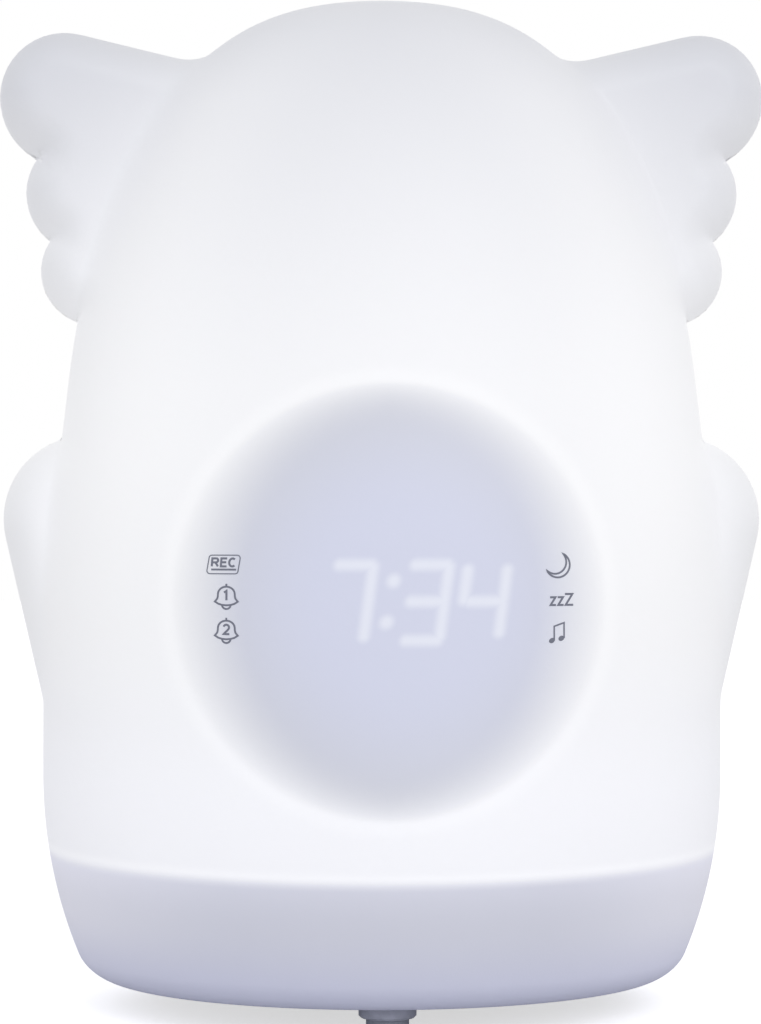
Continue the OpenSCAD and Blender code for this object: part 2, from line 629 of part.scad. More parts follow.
module board_screws() color(steel) for (p = post_at)
    translate([p[0], p[1], board_z - head_t]) screw(board_screw_l);

// Chips as [x, y, width, depth], and round capacitors.
chips = [[-20, 2, 12, 12], [13.5, -5.5, 7, 5], [28.5, 5, 9, 6]];
chip_t = 1.6;
cap_at = [[-30, -18], [-24, -18], [26, -18]];
cap_d = 5;
cap_h = 3.4;
module board_parts() color(dark) translate([0, 0, board_z + board_t]) {
    for (c = chips) translate([c[0] - c[2] / 2, c[1] - c[3] / 2, 0]) cube([c[2], c[3], chip_t]);
    for (p = cap_at) translate([p[0], p[1], 0]) cylinder(d = cap_d, h = cap_h, $fn = 32);
}

module power_socket() color(dark) difference() {
    translate([-socket_w / 2, socket_y - socket_l, socket_z - socket_h / 2])
        cube([socket_w, socket_l, socket_h]);
    translate([0, socket_y - socket_bore, socket_z]) rotate([-90, 0, 0])
        cylinder(r = socket_r, h = socket_bore + 1, $fn = 48);
}

module socket_pin() color(steel) translate([0, socket_y - socket_bore, socket_z])
    rotate([-90, 0, 0]) cylinder(r = socket_pin_r, h = socket_bore - 1, $fn = 32);

// ---- Night light ------------------------------------------------------------------------------

module light_board() color([0.9, 0.9, 0.9]) difference() {
    translate([0, led_board_y, led_z]) cylinder(r = led_board_r, h = board_t, $fn = 64);
    for (a = [90, 210, 330]) translate([0, led_board_y, led_z - 1]) rotate(a)
        translate([led_post_at, 0, 0]) cylinder(r = screw_r + 0.1, h = 4, $fn = 24);
}

module light_screws() color(steel) for (a = [90, 210, 330])
    translate([0, led_board_y, led_z + board_t + head_t]) rotate(a)
        translate([led_post_at, 0, 0]) mirror([0, 0, 1]) screw(light_screw_l);

module night_leds() color(lamp_white) for (i = [0:5])
    translate([0, led_board_y, led_z + board_t]) rotate(60 * i) translate([led_ring_r, 0, 0]) {
        translate([-1.75, -1.4, 0]) cube([3.5, 2.8, 0.8]);
        cylinder(r = 1.2, h = 1.2, $fn = 32);
    }

// ---- Display ----------------------------------------------------------------------------------

ahead = 70;                                 // a plane in front of the whole clock

// The drum's front edge follows the shell, so that its shadow is an even disc.
module display_drum() color(inner_white) difference() {
    union() {
        intersection() {
            translate([0, -ahead, drum_z]) rotate([-90, 0, 0])
                cylinder(d = drum_d, h = ahead + drum_back, $fn = 96);
            barrel(-1, wall + 0.8);
        }
        translate([-drum_foot_w / 2, drum_back - 6, deck_z]) {
            cube([drum_foot_w, 6, drum_z - drum_d / 2 - deck_z + 4]);
            cube([drum_foot_w, drum_foot_d, drum_foot_t]);
        }
    }
    translate([0, -ahead, drum_z]) rotate([-90, 0, 0])
        cylinder(d = drum_d - 2 * drum_t, h = ahead + display_y + board_t, $fn = 96);
    translate([0, display_y, drum_z]) rotate([-90, 0, 0])
        cylinder(d = drum_d - 2 * drum_t - 5, h = drum_back - drum_t - display_y, $fn = 96);
    for (p = drum_screw_at) translate([p[0], p[1], deck_z - 1])
        cylinder(r = screw_r + 0.2, h = 5, $fn = 24);
    translate([0, drum_back - 1, cable_top]) cube(cable_slot, center = true);
    translate([0, display_cable_y, deck_z]) cube([cable_w + 2, 4, 8], center = true);
}

module drum_screws() color(steel) for (p = drum_screw_at)
    translate([p[0], p[1], deck_z + drum_foot_t + head_t]) mirror([0, 0, 1]) screw(drum_screw_l);

module display_board() color(board_green) translate([0, display_y, drum_z])
    rotate([-90, 0, 0]) cylinder(d = drum_d - 2 * drum_t - 2 * fit, h = board_t, $fn = 96);

// One lit stroke: a long hexagon, level, centred on the origin.
module stroke_2d(length) polygon([[-length / 2, 0], [-length / 2 + stroke / 2, stroke / 2],
    [length / 2 - stroke / 2, stroke / 2], [length / 2, 0],
    [length / 2 - stroke / 2, -stroke / 2], [-length / 2 + stroke / 2, -stroke / 2]]);

// The seven strokes of one digit; g narrows each stroke for what is seated in it.
module digit_2d() {
    w = digit_w - stroke;
    h = (digit_h - stroke) / 2;
    multmatrix([[1, tan(digit_lean), 0, 0], [0, 1, 0, 0], [0, 0, 1, 0], [0, 0, 0, 1]]) {
        for (i = [-1:1]) translate([0, i * h]) stroke_2d(w - 0.5);
        for (x = [-1, 1], z = [-1, 1]) translate([x * w / 2, z * h / 2]) rotate(90) stroke_2d(h - 0.5);
    }
}

module colon_2d() {
    for (z = [-1, 1]) translate([z * digit_h / 4 * tan(digit_lean), z * digit_h / 4])
        circle(d = stroke + 0.2, $fn = 24);
}

module clock_face_2d() {
    for (x = digit_x) translate([x, 0]) digit_2d();
    colon_2d();
}

// Puts a flat drawing on the display, extruded forward from y = a to y = b.
module on_display(a, b) translate([0, a, drum_z]) rotate([90, 0, 0]) linear_extrude(a - b) children();

housing_w = colon_pitch + 2 * digit_pitch + digit_w + 2 * stroke;
module digit_housing() color([0.2, 0.2, 0.24]) difference() {
    on_display(display_y, digit_y) square([housing_w, digit_h + 6], center = true);
    on_display(display_y + eps, digit_y - 1) clock_face_2d();
}

module digit_lenses() color(lamp_white) on_display(display_y, digit_y + 0.2) clock_face_2d();

module lamp_tubes() color(inner_white) on_display(display_y, display_y - tube_l) difference() {
    for (p = lamp_at) translate([p[0], p[1] - drum_z]) circle(r = tube_r, $fn = 32);
    for (p = lamp_at) translate([p[0], p[1] - drum_z]) circle(r = tube_r - 0.7, $fn = 32);
}

module mode_lamps() color(lamp_white) for (p = lamp_at) translate([p[0], display_y, p[1]])
    rotate([90, 0, 0]) rotate_extrude($fn = 24)
        polygon([[0, 0], [1.6, 0], [1.6, 2], [1.2, 2.9], [0.6, 3.3], [0, 3.4]]);

// Flat cable from the back of the display down through the deck, with a plug at each end.
cable_top = drum_z - cable_drop;
module display_cable() color(steel) {
    back = display_y + board_t;
    y = display_cable_y;
    translate([-cable_w / 2, 0, 0]) rotate([90, 0, 90]) linear_extrude(cable_w) polygon([
        [back + 3, cable_top - cable_t / 2], [y - cable_t / 2 - 1, cable_top - cable_t / 2],
        [y - cable_t / 2, cable_top - cable_t / 2 - 1], [y - cable_t / 2, board_z + board_t + 3],
        [y + cable_t / 2, board_z + board_t + 3], [y + cable_t / 2, cable_top - 0.6],
        [y - 0.6, cable_top + cable_t / 2], [back + 3, cable_top + cable_t / 2]]);
    translate([-cable_w / 2 - 1, back, cable_top - 2]) cube([cable_w + 2, 3 + eps, 4]);
    translate([-cable_w / 2 - 1, y - 1.8, board_z + board_t]) cube([cable_w + 2, 3.6, 3 + eps]);
}

// ---- Control panel ----------------------------------------------------------------------------

panel_lip = 1.6;                            // wall round the sunken face
key_hole_r = key_d / 2 + 0.25;
key_board_w = panel_w - 3;
key_board_h = panel_h - 4;
board_post = [for (x = [-1, 1], z = [-1, 1]) [x * (key_board_w / 2 - 3), z * (key_board_h / 2 - 3)]];
module control_panel() color(inner_white) {
    difference() {
        intersection() {
            panel_prism(fit, key_back, belly_d + 5);
            barrel(1, 0.5);
        }
        translate([0, belly_d + 10, panel_z]) rotate([90, 0, 0]) linear_extrude(belly_d + 10 - panel_y)
            slab(panel_w - 2 * fit - 2 * panel_lip, panel_h - 2 * fit - 2 * panel_lip,
                panel_corner - fit - panel_lip);
        for (x = key_x, z = row_z) translate([x, key_back - 1, z]) rotate([-90, 0, 0])
            cylinder(r = key_hole_r, h = panel_t + 2, $fn = 48);
        translate([0, key_back - 1, panel_z]) rotate([-90, 0, 0]) cylinder(r = 0.9, h = 5, $fn = 24);
    }
    for (p = board_post) translate([p[0], key_board_y, panel_z + p[1]]) rotate([-90, 0, 0])
        difference() {
            cylinder(r = 2.6, h = key_back - key_board_y + 0.5, $fn = 32);
            translate([0, 0, -eps]) cylinder(r = screw_r, h = 6, $fn = 24);
        }
}

module key_board() color(board_green) difference() {
    translate([-key_board_w / 2, key_board_y - board_t, panel_z - key_board_h / 2])
        cube([key_board_w, board_t, key_board_h]);
    for (p = board_post) translate([p[0], key_board_y - 4, panel_z + p[1]]) rotate([-90, 0, 0])
        cylinder(r = screw_r + 0.1, h = 8, $fn = 24);
}

module key_switches() color(dark) for (x = key_x, z = row_z)
    translate([x, key_board_y, z]) rotate([-90, 0, 0]) tact_switch();

module panel_screws() color(steel) for (p = board_post)
    translate([p[0], key_board_y - board_t - head_t, panel_z + p[1]]) rotate([-90, 0, 0])
        screw(panel_screw_l);

module microphone() color(steel) translate([0, key_back - 2.7, panel_z]) rotate([-90, 0, 0])
    difference() {
        cylinder(d = 6, h = 2.7, $fn = 32);
        translate([0, 0, 2]) cylinder(r = 0.9, h = 1, $fn = 24);
    }

module panel_cable() color(steel) {
    y = panel_cable_y;
    low = board_z + board_t;
    high = panel_z - key_board_h / 2 + 4;
    translate([-cable_w / 2, y - cable_t / 2, low + 2]) cube([cable_w, cable_t, high - low - 3]);
    translate([-cable_w / 2 - 1, y - 1.5, high - 2]) cube([cable_w + 2, 3, 4]);
    translate([-cable_w / 2 - 1, y - 1.8, low]) cube([cable_w + 2, 3.6, 3]);
}

// A round key: domed cap, a flange behind the panel, and a stem over its switch.
module key_at(column, row) color(grey) {
    stem_end = key_board_y + switch_t + 0.4 + key_travel + 0.1;
    flange = key_back - fit;
    top = panel_y + 1.9;
    translate([key_x[column], 0, row_z[row]]) rotate([-90, 0, 0]) rotate_extrude($fn = 48)
        polygon([[0, stem_end], [1.8, stem_end], [1.8, flange - 1.2], [key_d / 2 + 1, flange - 1.2],
            [key_d / 2 + 1, flange], [key_d / 2, flange], [key_d / 2, top - 0.9],
            [key_d / 2 - 0.3, top - 0.35], [key_d / 2 - 1, top], [2, top - 0.15], [0, top - 0.3]]);
}

module key_light() key_at(0, 0);
module key_music() key_at(1, 0);
module key_record() key_at(2, 0);
module key_sleep() key_at(3, 0);
module key_time() key_at(0, 1);
module key_alarm() key_at(1, 1);
module key_minus() key_at(2, 1);
module key_plus() key_at(3, 1);

front_shell();
rear_shell();
light_deck();
base_plate();
base_screws();
rear_feet();
foot_collar();
foot_plunger();
foot_spring();
foot_bracket();
foot_switch();
battery_door();
door_screw();
battery_cells();
battery_contacts();
speaker_frame();
speaker_cone();
speaker_magnet();
main_board();
board_screws();
board_parts();
power_socket();
socket_pin();
light_board();
light_screws();
night_leds();
display_drum();
drum_screws();
display_board();
digit_housing();
digit_lenses();
lamp_tubes();
mode_lamps();
display_cable();
control_panel();
key_board();
key_switches();
panel_screws();
microphone();
panel_cable();
key_light();
key_music();
key_record();
key_sleep();
key_time();
key_alarm();
key_minus();
key_plus();
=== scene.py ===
# %% [markdown]
# # A child's alarm clock with night light
# The lamp is a milky plastic shell in the outline of a plump animal. White lamps inside make it glow,
# a drum behind the belly keeps that light off the clock, and a closed base below stays dark.
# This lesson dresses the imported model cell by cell. The hard parts come from the frame as they are,
# and only get their finish. The two halves of the shell are rebuilt here as smooth mouldings.

# %% Load the frame
import math
import bmesh
import bpy
import numpy as np
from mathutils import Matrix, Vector


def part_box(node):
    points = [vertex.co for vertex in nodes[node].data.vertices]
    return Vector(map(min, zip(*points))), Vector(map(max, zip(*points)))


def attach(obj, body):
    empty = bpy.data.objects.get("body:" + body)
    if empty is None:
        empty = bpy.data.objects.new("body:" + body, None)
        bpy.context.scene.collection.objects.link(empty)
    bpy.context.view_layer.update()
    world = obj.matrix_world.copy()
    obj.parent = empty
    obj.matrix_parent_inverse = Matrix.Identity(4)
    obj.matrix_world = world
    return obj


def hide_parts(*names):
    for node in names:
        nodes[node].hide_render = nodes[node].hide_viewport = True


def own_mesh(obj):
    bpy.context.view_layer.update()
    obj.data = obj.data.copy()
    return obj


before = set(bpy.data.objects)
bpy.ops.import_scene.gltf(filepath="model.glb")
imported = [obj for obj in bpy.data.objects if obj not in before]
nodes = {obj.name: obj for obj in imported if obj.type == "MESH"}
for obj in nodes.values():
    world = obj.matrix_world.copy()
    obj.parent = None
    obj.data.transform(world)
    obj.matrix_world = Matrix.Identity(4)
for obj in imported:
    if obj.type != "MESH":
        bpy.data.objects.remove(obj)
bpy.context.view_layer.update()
MM = 0.001

# %% [markdown]
# ## Camera
# The lamp is seen from the front, level with the top of its belly, from 0.6 m away and a little
# from the left. The camera stays level, so upright lines stay upright, and a small shift places the
# lamp in the frame.

# %% Camera
eye_distance, eye_z, azimuth = 0.6, 0.096, math.radians(-1.6)
frame_height = 1024
camera_data = bpy.data.cameras.new("camera")
camera_data.lens = 105.5
camera_data.sensor_width = 36
camera_data.shift_x = -1.6 / frame_height
camera_data.shift_y = 9 / frame_height
camera = bpy.data.objects.new("camera", camera_data)
camera.location = (eye_distance * math.sin(azimuth), -eye_distance * math.cos(azimuth), eye_z)
camera.rotation_euler = (math.pi / 2, 0, azimuth)
bpy.context.collection.objects.link(camera)
bpy.context.scene.camera = camera
bpy.context.scene.view_settings.view_transform = "Standard"
print("camera at", [round(v, 3) for v in camera.location])

# %% [markdown]
# ## Nodes in short
# The world and every material are built from nodes. One function adds a node and feeds its inputs,
# and shorter ones do arithmetic, a range and a mix of colours in the tree of what they are given.


# %% Node helpers
def feed(value, socket):
    """Links an output to the socket, or writes a constant into it."""
    if isinstance(value, bpy.types.NodeSocket):
        socket.id_data.links.new(value, socket)
    else:
        socket.default_value = (*value, 1) if socket.type == "RGBA" else value


def add_node(tree, kind, inputs=None, **settings):
    """A shader node; inputs says what each input gets, by its name or number."""
    node = tree.nodes.new("ShaderNode" + kind)
    for name, setting in settings.items():
        setattr(node, name, setting)
    for key, value in (inputs or {}).items():
        feed(value, node.inputs[key])
    return node


def next_node(kind, inputs, **settings):
    """A node in the same tree as the first output among its inputs."""
    source = next(value for value in inputs.values() if isinstance(value, bpy.types.NodeSocket))
    return add_node(source.id_data, kind, inputs, **settings)


def math_node(kind, *values, clamp=False):
    return next_node("Math", dict(enumerate(values)), operation=kind, use_clamp=clamp).outputs[0]


def times(first, *others):
    """The product of all values."""
    for other in others:
        first = math_node("MULTIPLY", first, other)
    return first


def map_range(value, low, high, to_low=0.0, to_high=1.0, kind="SMOOTHSTEP"):
    """Maps value from low..high to to_low..to_high, with soft ends."""
    inputs = {"Value": value, "From Min": low, "From Max": high, "To Min": to_low, "To Max": to_high}
    return next_node("MapRange", inputs, interpolation_type=kind).outputs["Result"]


def mix_colour(factor, a, b, kind="MIX"):
    """Mixes colours a and b; sockets 6 and 7 of the Mix node are its colours."""
    return next_node("Mix", {0: factor, 6: a, 7: b}, data_type="RGBA", blend_type=kind).outputs[2]


def object_place(tree):
    return add_node(tree, "TexCoord").outputs["Object"]


def empty_material(name):
    """A new material, its node tree and its output node."""
    material = bpy.data.materials.new(name)
    material.use_nodes = True
    material.node_tree.nodes.clear()
    return material, material.node_tree, add_node(material.node_tree, "OutputMaterial")


print("node helpers ready")


# %% A piece from points
def mesh_piece(name, points, faces, material=None, smooth=True):
    """A new object from points in millimetres."""
    mesh = bpy.data.meshes.new(name)
    mesh.from_pydata((np.asarray(points, float) * MM).tolist(), [], faces)
    mesh.update()
    if smooth:
        mesh.polygons.foreach_set("use_smooth", [True] * len(mesh.polygons))
    piece = bpy.data.objects.new(name, mesh)
    bpy.context.collection.objects.link(piece)
    if material:
        mesh.materials.append(material)
    return piece


print("mesh helper ready")

# %% [markdown]
# ## Stage and light
# A lit lamp looks right only in soft light that comes from nearly everywhere, because hard shadows
# would fight its own glow. The world gives most of the light, one wide panel from the front right
# models the form, and a weaker cool one fills in from the left. The sky grows a little darker
# overhead, so that surfaces that face up don't outshine the front. The floor is pale; for the camera
# it is lifted to white, and it still takes the lamp's shadow.

# %% World and floor
ambient, zenith_share, horizon = 0.852, 0.63, 0.15
world = bpy.data.worlds.new("world")
bpy.context.scene.world = world
world.use_nodes = True
sky = world.node_tree
sky.nodes.clear()
rays = add_node(sky, "LightPath").outputs
seen = math_node("MAXIMUM", rays["Is Camera Ray"], rays["Is Glossy Ray"])
seen = math_node("MAXIMUM", seen, rays["Is Transmission Ray"])
upward = add_node(sky, "SeparateXYZ", {0: add_node(sky, "TexCoord").outputs["Generated"]}).outputs[2]
overhead = map_range(upward, horizon, 1.0, ambient, zenith_share * ambient)
strength = add_node(sky, "Mix", {0: seen, 2: overhead, 3: 1.0}).outputs[0]
backdrop = add_node(sky, "Background", {"Color": (1, 1, 1), "Strength": strength})
add_node(sky, "OutputWorld", {"Surface": backdrop.outputs[0]})

floor_paint, tree, out = empty_material("floor paint")
paint = add_node(tree, "BsdfDiffuse", {"Color": (0.78, 0.78, 0.80)})
to_camera = add_node(tree, "LightPath").outputs["Is Camera Ray"]
lift = add_node(tree, "Emission", {"Strength": times(to_camera, 0.62)})
both = add_node(tree, "AddShader", {0: paint.outputs[0], 1: lift.outputs[0]})
feed(both.outputs[0], out.inputs["Surface"])

reach = 3000
corners = [(-reach, -reach, 0), (reach, -reach, 0), (reach, reach, 0), (-reach, reach, 0)]
floor = mesh_piece("floor", corners, [(0, 1, 2, 3)], floor_paint, smooth=False)
print("ambient", ambient)


# %% Lights
def area_light(name, place, watts, colour):
    """A square soft light at place that faces the middle of the lamp."""
    data = bpy.data.lights.new(name, "AREA")
    data.size = 0.9
    data.energy = watts
    data.color = colour
    light = bpy.data.objects.new(name, data)
    light.location = place
    to_lamp = Vector((0, 0, 0.1)) - Vector(place)
    light.rotation_euler = to_lamp.to_track_quat("-Z", "Y").to_euler()
    bpy.context.collection.objects.link(light)


area_light("soft panel", (0.58, -1.32, 0.88), 5.0, (1, 1, 1))
area_light("cool fill", (-1.2, -0.9, 0.5), 1.35, (0.86, 0.92, 1.0))
print("lights:", len(bpy.data.lights))

# %% [markdown]
# ## The form of the shell
# Seen from the front the body is half an ellipse below and a fuller, squarer curve above. Its plan
# is an oval at every height. The ears and arms are one flat pad with a rounded edge behind the
# body, cut to a scalloped outline of circles. Both are heights over the parting plane, so one
# function blends them into a single skin, and the other half is its mirror image.
# All sizes are in millimetres and degrees.

# %% Sizes of the shell
height, belly_w, belly_z, depth_share = 198.8, 134.8, 46.0, 0.85
crown_power, tuck_h, waist_in = 2.65, 80.0, 0.8
rim_z, rim_r, wall = 5.6, 5.0, 2.4
waist_z, waist_span = belly_z + 68, 16
ear, ear_r, ear_slope = np.array([62.9, height - 19]), 13.1, 13.5
lobe, lobe_r = np.array([59.2, ear[1] - 18.8]), 11.6
tip, tip_r = np.array([57.4, lobe[1] - 15.4]), 10.5
arm_rise = 50.4
arm, arm_r, arm_slope = np.array([58.7, belly_z + arm_rise]), 16.6, 13
nook_run, nook_rise = 5.0, 2.75
pad_d, pad_r = 17.0, 9.0
blend = 4.5
deck_z = 29.6
drum_z = 81.0


def ramp(value, start, span):
    """0 up to start, 1 from a span later."""
    return np.clip((value - start) / span, 0, 1)


def half_w(z, t=0.0):
    """Half width of the body at height z, for a skin t inside the outer one."""
    z = np.asarray(z, float)
    low = np.maximum(0, belly_z - z) / tuck_h
    high = ramp(z, belly_z, height - t - belly_z)
    edge = np.where(z < rim_z + rim_r,
                    rim_r - np.sqrt(np.maximum(0, rim_r ** 2 - (rim_z + rim_r - z) ** 2)), 0)
    return ((belly_w / 2 * np.sqrt(1 - low ** 2) - t) * (1 - high ** crown_power) ** (1 / crown_power)
            - waist_in * np.exp(-((z - waist_z) / waist_span) ** 2) - edge)


def half_d(z, t=0.0):
    """Half depth of the body at height z."""
    return np.maximum(0, depth_share * (half_w(z, t) + t) - t)


print("widest", round(2 * float(half_w(belly_z)), 1), "mm")


# %% Outline
def bisect(f, a, b):
    """Where f changes from below zero at a to above it at b."""
    for _ in range(40):
        m = (a + b) / 2
        a, b = (m, b) if f(m) < 0 else (a, m)
    return (a + b) / 2


def turn(centre, radius, angle):
    """The point on a circle at that angle."""
    angle = np.radians(angle)
    return centre + radius * np.array([np.cos(angle), np.sin(angle)])


def arc(centre, radius, a, b, n):
    return [turn(centre, radius, a + (b - a) * i / n) for i in range(1, n + 1)]


def line(a, b, n):
    return [a + (b - a) * i / n for i in range(1, n + 1)]


def crossing(p, r, q, s):
    """Outer crossing of two circles, the first one below the second."""
    d = np.linalg.norm(q - p)
    u = (q - p) / d
    a = (r * r - s * s + d * d) / (2 * d)
    return p + a * u + math.sqrt(r * r - a * a) * np.array([u[1], -u[0]])


def bearing(c, p):
    return math.degrees(math.atan2(p[1] - c[1], p[0] - c[0]))


def half_outline(t, fine):
    """The silhouette's right half from the middle of the rim to the crown, t inside the edge."""
    def meets_body(path, a, b):
        """How far along path(m) the body's side is reached."""
        return bisect(lambda m: path(m)[0] - half_w(path(m)[1], t), a, b)

    def run(z0, z1, n):
        """Points on the body's side."""
        return [np.array([half_w(z, t), z]) for z in np.linspace(z0, z1, n + 1)[1:]]

    up_arm = turn(0, 1, 90 - arm_slope)
    inward = -turn(0, 1, ear_slope)
    arm_t = turn(arm, arm_r - t, -arm_slope)
    arm_foot = arm_t + up_arm * meets_body(lambda m: arm_t + up_arm * m, -arm_rise, 0)
    arm_top = meets_body(lambda m: turn(arm, arm_r - t, m), 90, 0)
    tip_low = meets_body(lambda m: turn(tip, tip_r - t, m), -90, 0)
    notch_1 = crossing(tip, tip_r, lobe, lobe_r)
    notch_2 = crossing(lobe, lobe_r, ear, ear_r)
    ear_t = turn(ear, ear_r - t, 90 + ear_slope)
    nook = ear_t + inward * meets_body(lambda m: ear_t + inward * m, ear[0] - 10, 0)
    nook_out = nook - nook_run * inward
    nook_z = nook[1] + nook_rise
    nook_in = np.array([half_w(nook_z, t), nook_z])
    crown_h = height - t - belly_z
    crown_start = math.degrees(math.asin(((nook_z - belly_z) / crown_h) ** (crown_power / 2)))

    points = [np.array([half_w(rim_z, t) * math.sin(math.radians(a)), rim_z])
              for a in np.linspace(0, 90, 9 * fine + 1)]
    points += [np.array([half_w(z, t), z]) for z in
               (rim_z + rim_r * (1 - np.cos(np.radians(np.linspace(0, 90, 3 * fine + 1)[1:]))))]
    points += run(rim_z + rim_r, arm_foot[1], 7 * fine)
    points += line(arm_foot, arm_t, 4 * fine)
    points += arc(arm, arm_r - t, -arm_slope, arm_top, 7 * fine)
    points += run(turn(arm, arm_r - t, arm_top)[1], turn(tip, tip_r - t, tip_low)[1], 4 * fine)
    points += arc(tip, tip_r - t, tip_low, bearing(tip, notch_1), 5 * fine)
    points += arc(lobe, lobe_r - t, bearing(lobe, notch_1), bearing(lobe, notch_2), 5 * fine)
    points += arc(ear, ear_r - t, bearing(ear, notch_2), 90 + ear_slope, 10 * fine)
    points += line(ear_t, nook_out, 4 * fine)
    points += [(1 - u) ** 2 * nook_out + 2 * u * (1 - u) * nook + u * u * nook_in
               for u in np.linspace(0, 1, 3 * fine + 1)[1:]]
    points += [np.array([(belly_w / 2 - t) * max(0, math.cos(math.radians(a))) ** (2 / crown_power),
                         belly_z + crown_h * math.sin(math.radians(a)) ** (2 / crown_power)])
               for a in np.linspace(crown_start, 90, 8 * fine + 1)[1:]]
    return np.array(points)


edge_right = {t: half_outline(t, 4) for t in (0.0, wall)}
print("outline points:", len(edge_right[0.0]))

# %% [markdown]
# ## Depth inside the outline
# The pad's rounded edge needs to know how far a point lies from the nearest edge. That distance is
# worked out to every piece of the outline, and the smallest one counts, so that the notches between
# the lobes round off by themselves. The rings of points run from the middle out to the body's side,
# where they lie close because the skin turns there, and on over the pad to the outline.

# %% Height of the skin
centre = np.array([0.0, 127.0])
body_rings, pad_rings = 40, 22
soften = 12


def depth_in(p, edge, batch=20000):
    """Distance from each point of p to the outline, worked out in batches."""
    a, b = edge[:-1], edge[1:]
    u = b - a
    uu = (u * u).sum(1)
    best = np.full(len(p), 1e9)
    for start in range(0, len(p), batch):
        q = p[start:start + batch, None, :]
        k = np.clip(((q - a) * u).sum(2) / uu, 0, 1)
        gap = q - a - k[..., None] * u
        best[start:start + batch] = np.sqrt((gap * gap).sum(2).min(1))
    return best


def stand(p, t=0.0):
    """How far the skin stands from the parting plane at each point of p."""
    q = np.stack([np.abs(p[:, 0]), p[:, 1]], 1)
    w = half_w(q[:, 1], t)
    body = half_d(q[:, 1], t) * np.sqrt(np.maximum(0, 1 - (q[:, 0] / np.maximum(w, 1e-6)) ** 2))
    near = 1 - np.minimum(1, depth_in(q, edge_right[t][::2]) / (pad_r - t))
    low = ramp(q[:, 1], belly_z, arm_r)
    pad = (pad_d - t) * np.sqrt(1 - near ** 2) * low * low * (3 - 2 * low)
    return (body ** blend + pad ** blend) ** (1 / blend)


def rings_of(t):
    """Rings of points (x, z) from the centre to the outline, one of them along the body's side."""
    right = edge_right[t]
    edge = np.concatenate([right, right[-2:0:-1] * [-1, 1]])
    low, high = np.zeros(len(edge)), np.ones(len(edge))
    for _ in range(30):
        m = (low + high) / 2
        p = centre + m[:, None] * (edge - centre)
        inside = np.abs(p[:, 0]) < half_w(p[:, 1], t)
        low, high = np.where(inside, m, low), np.where(inside, high, m)
    reach = range(-soften, soften + 1)
    weight = [soften + 1 - abs(j) for j in reach]

    def softened(values):
        """A running mean along the outline."""
        return sum(w * np.roll(values, -j, axis=0) for j, w in zip(reach, weight)) / sum(weight)

    share, soft = softened(np.minimum(0.96, low)), softened(edge)
    steps = [share * math.sin(math.radians(82 * k / body_rings)) / math.sin(math.radians(82))
             for k in range(1, body_rings + 1)]
    steps += [share + (1 - share) * math.sin(math.radians(90 * k / pad_rings))
              for k in range(1, pad_rings + 1)]
    rings = []
    for s in steps:
        w = ramp(1 - s, 0, 0.12)[:, None]
        rings.append(centre + s[:, None] * ((1 - w) * edge + w * soft - centre))
    return rings, edge


def skin(t):
    """Points (x, y, z) of the front skin, ring by ring, then its middle point."""
    rings, edge = rings_of(t)
    flat = np.concatenate(rings + [centre[None, :]])
    out = -stand(flat, t)
    last = slice(len(flat) - 1 - len(edge), len(flat) - 1)
    out[last] = np.where(edge[:, 1] > rim_z + 1e-6, 0, out[last])
    return np.stack([flat[:, 0], out, flat[:, 1]], 1), len(edge)


print("rings in each skin:", body_rings + pad_rings)

# %% [markdown]
# ## A half of the shell as a mesh
# The outer and the inner skin are joined along the rim and the parting plane, so each half is a
# closed, thin-walled piece like the real moulding. The outer edge along the parting plane is drawn
# in by a quarter of a millimetre, which leaves the fine line where the two halves are welded. That
# line runs out at the notches between the lobes, where it would have no room.

# %% Build a half
groove = 0.25
notch_bend, notch_reach = 0.02, 10


def unit(rows):
    """The rows as directions, each 1 long."""
    return rows / np.maximum(np.linalg.norm(rows, axis=1), 1e-6)[:, None]


def draw_in(ring):
    """Draws the edge on the parting plane in, except where the outline bends the hollow way."""
    edge = ring[:, [0, 2]]
    step = np.roll(edge, -1, axis=0) - edge
    before = np.roll(step, 1, axis=0)
    bend = before[:, 0] * step[:, 1] - before[:, 1] * step[:, 0]
    notch = bend * np.sign(bend.sum()) < -notch_bend
    near_notch = np.any([np.roll(notch, j) for j in range(-notch_reach, notch_reach + 1)], axis=0)
    pull = np.where((np.abs(ring[:, 1]) < 1e-6) & ~near_notch, groove, 0)
    ring[:, [0, 2]] += pull[:, None] * unit(centre - edge)


def half_shell(name, side):
    """Side 1 is the front half, -1 the rear half."""
    outer, n = skin(0.0)
    inner, _ = skin(wall)
    middle, edge_ring = len(outer) - 1, len(outer) - 1 - n
    draw_in(outer[edge_ring:middle])
    points = np.concatenate([outer, inner])
    points[:, 1] *= side
    pairs = [(i, (i + 1) % n) for i in range(n)]
    faces = []

    def add(new, flip):
        faces.extend(face[::-1] if flip else face for face in new)

    def band(a, b, flip):
        """Faces between the rings that start at the points a and b."""
        add([(a + i, a + j, b + j, b + i) for i, j in pairs], flip)

    for base, flip in ((0, side > 0), (len(outer), side < 0)):
        add([(base + middle, base + j, base + i) for i, j in pairs], flip)
        for start in range(base, base + edge_ring, n):
            band(start, start + n, flip)
    band(edge_ring, edge_ring + len(outer), side > 0)
    return mesh_piece(name, points, faces)


front = half_shell("glow_shell_front", 1)
rear = half_shell("glow_shell_rear", -1)
print("faces of each half:", len(front.data.polygons), len(rear.data.polygons))

# %% [markdown]
# ## Openings at the back
# The rear half has a round-cornered window for the keys and a hole for the plug. Both are plain
# prisms, so a Boolean cut is better than modelling them ring by ring: it follows the curved wall by
# itself. The cut is applied at once, and the sharp edges that it leaves are then marked by their
# angle, which keeps the skin smooth right up to them.

# %% Cut the window and the plug hole
panel_w, panel_h, panel_z, panel_corner = 54.0, 40.0, 57.0, 7.0
socket_z, plug_r = 16.5, 5.5
window_from, plug_from, behind = 39.5, 44, 70


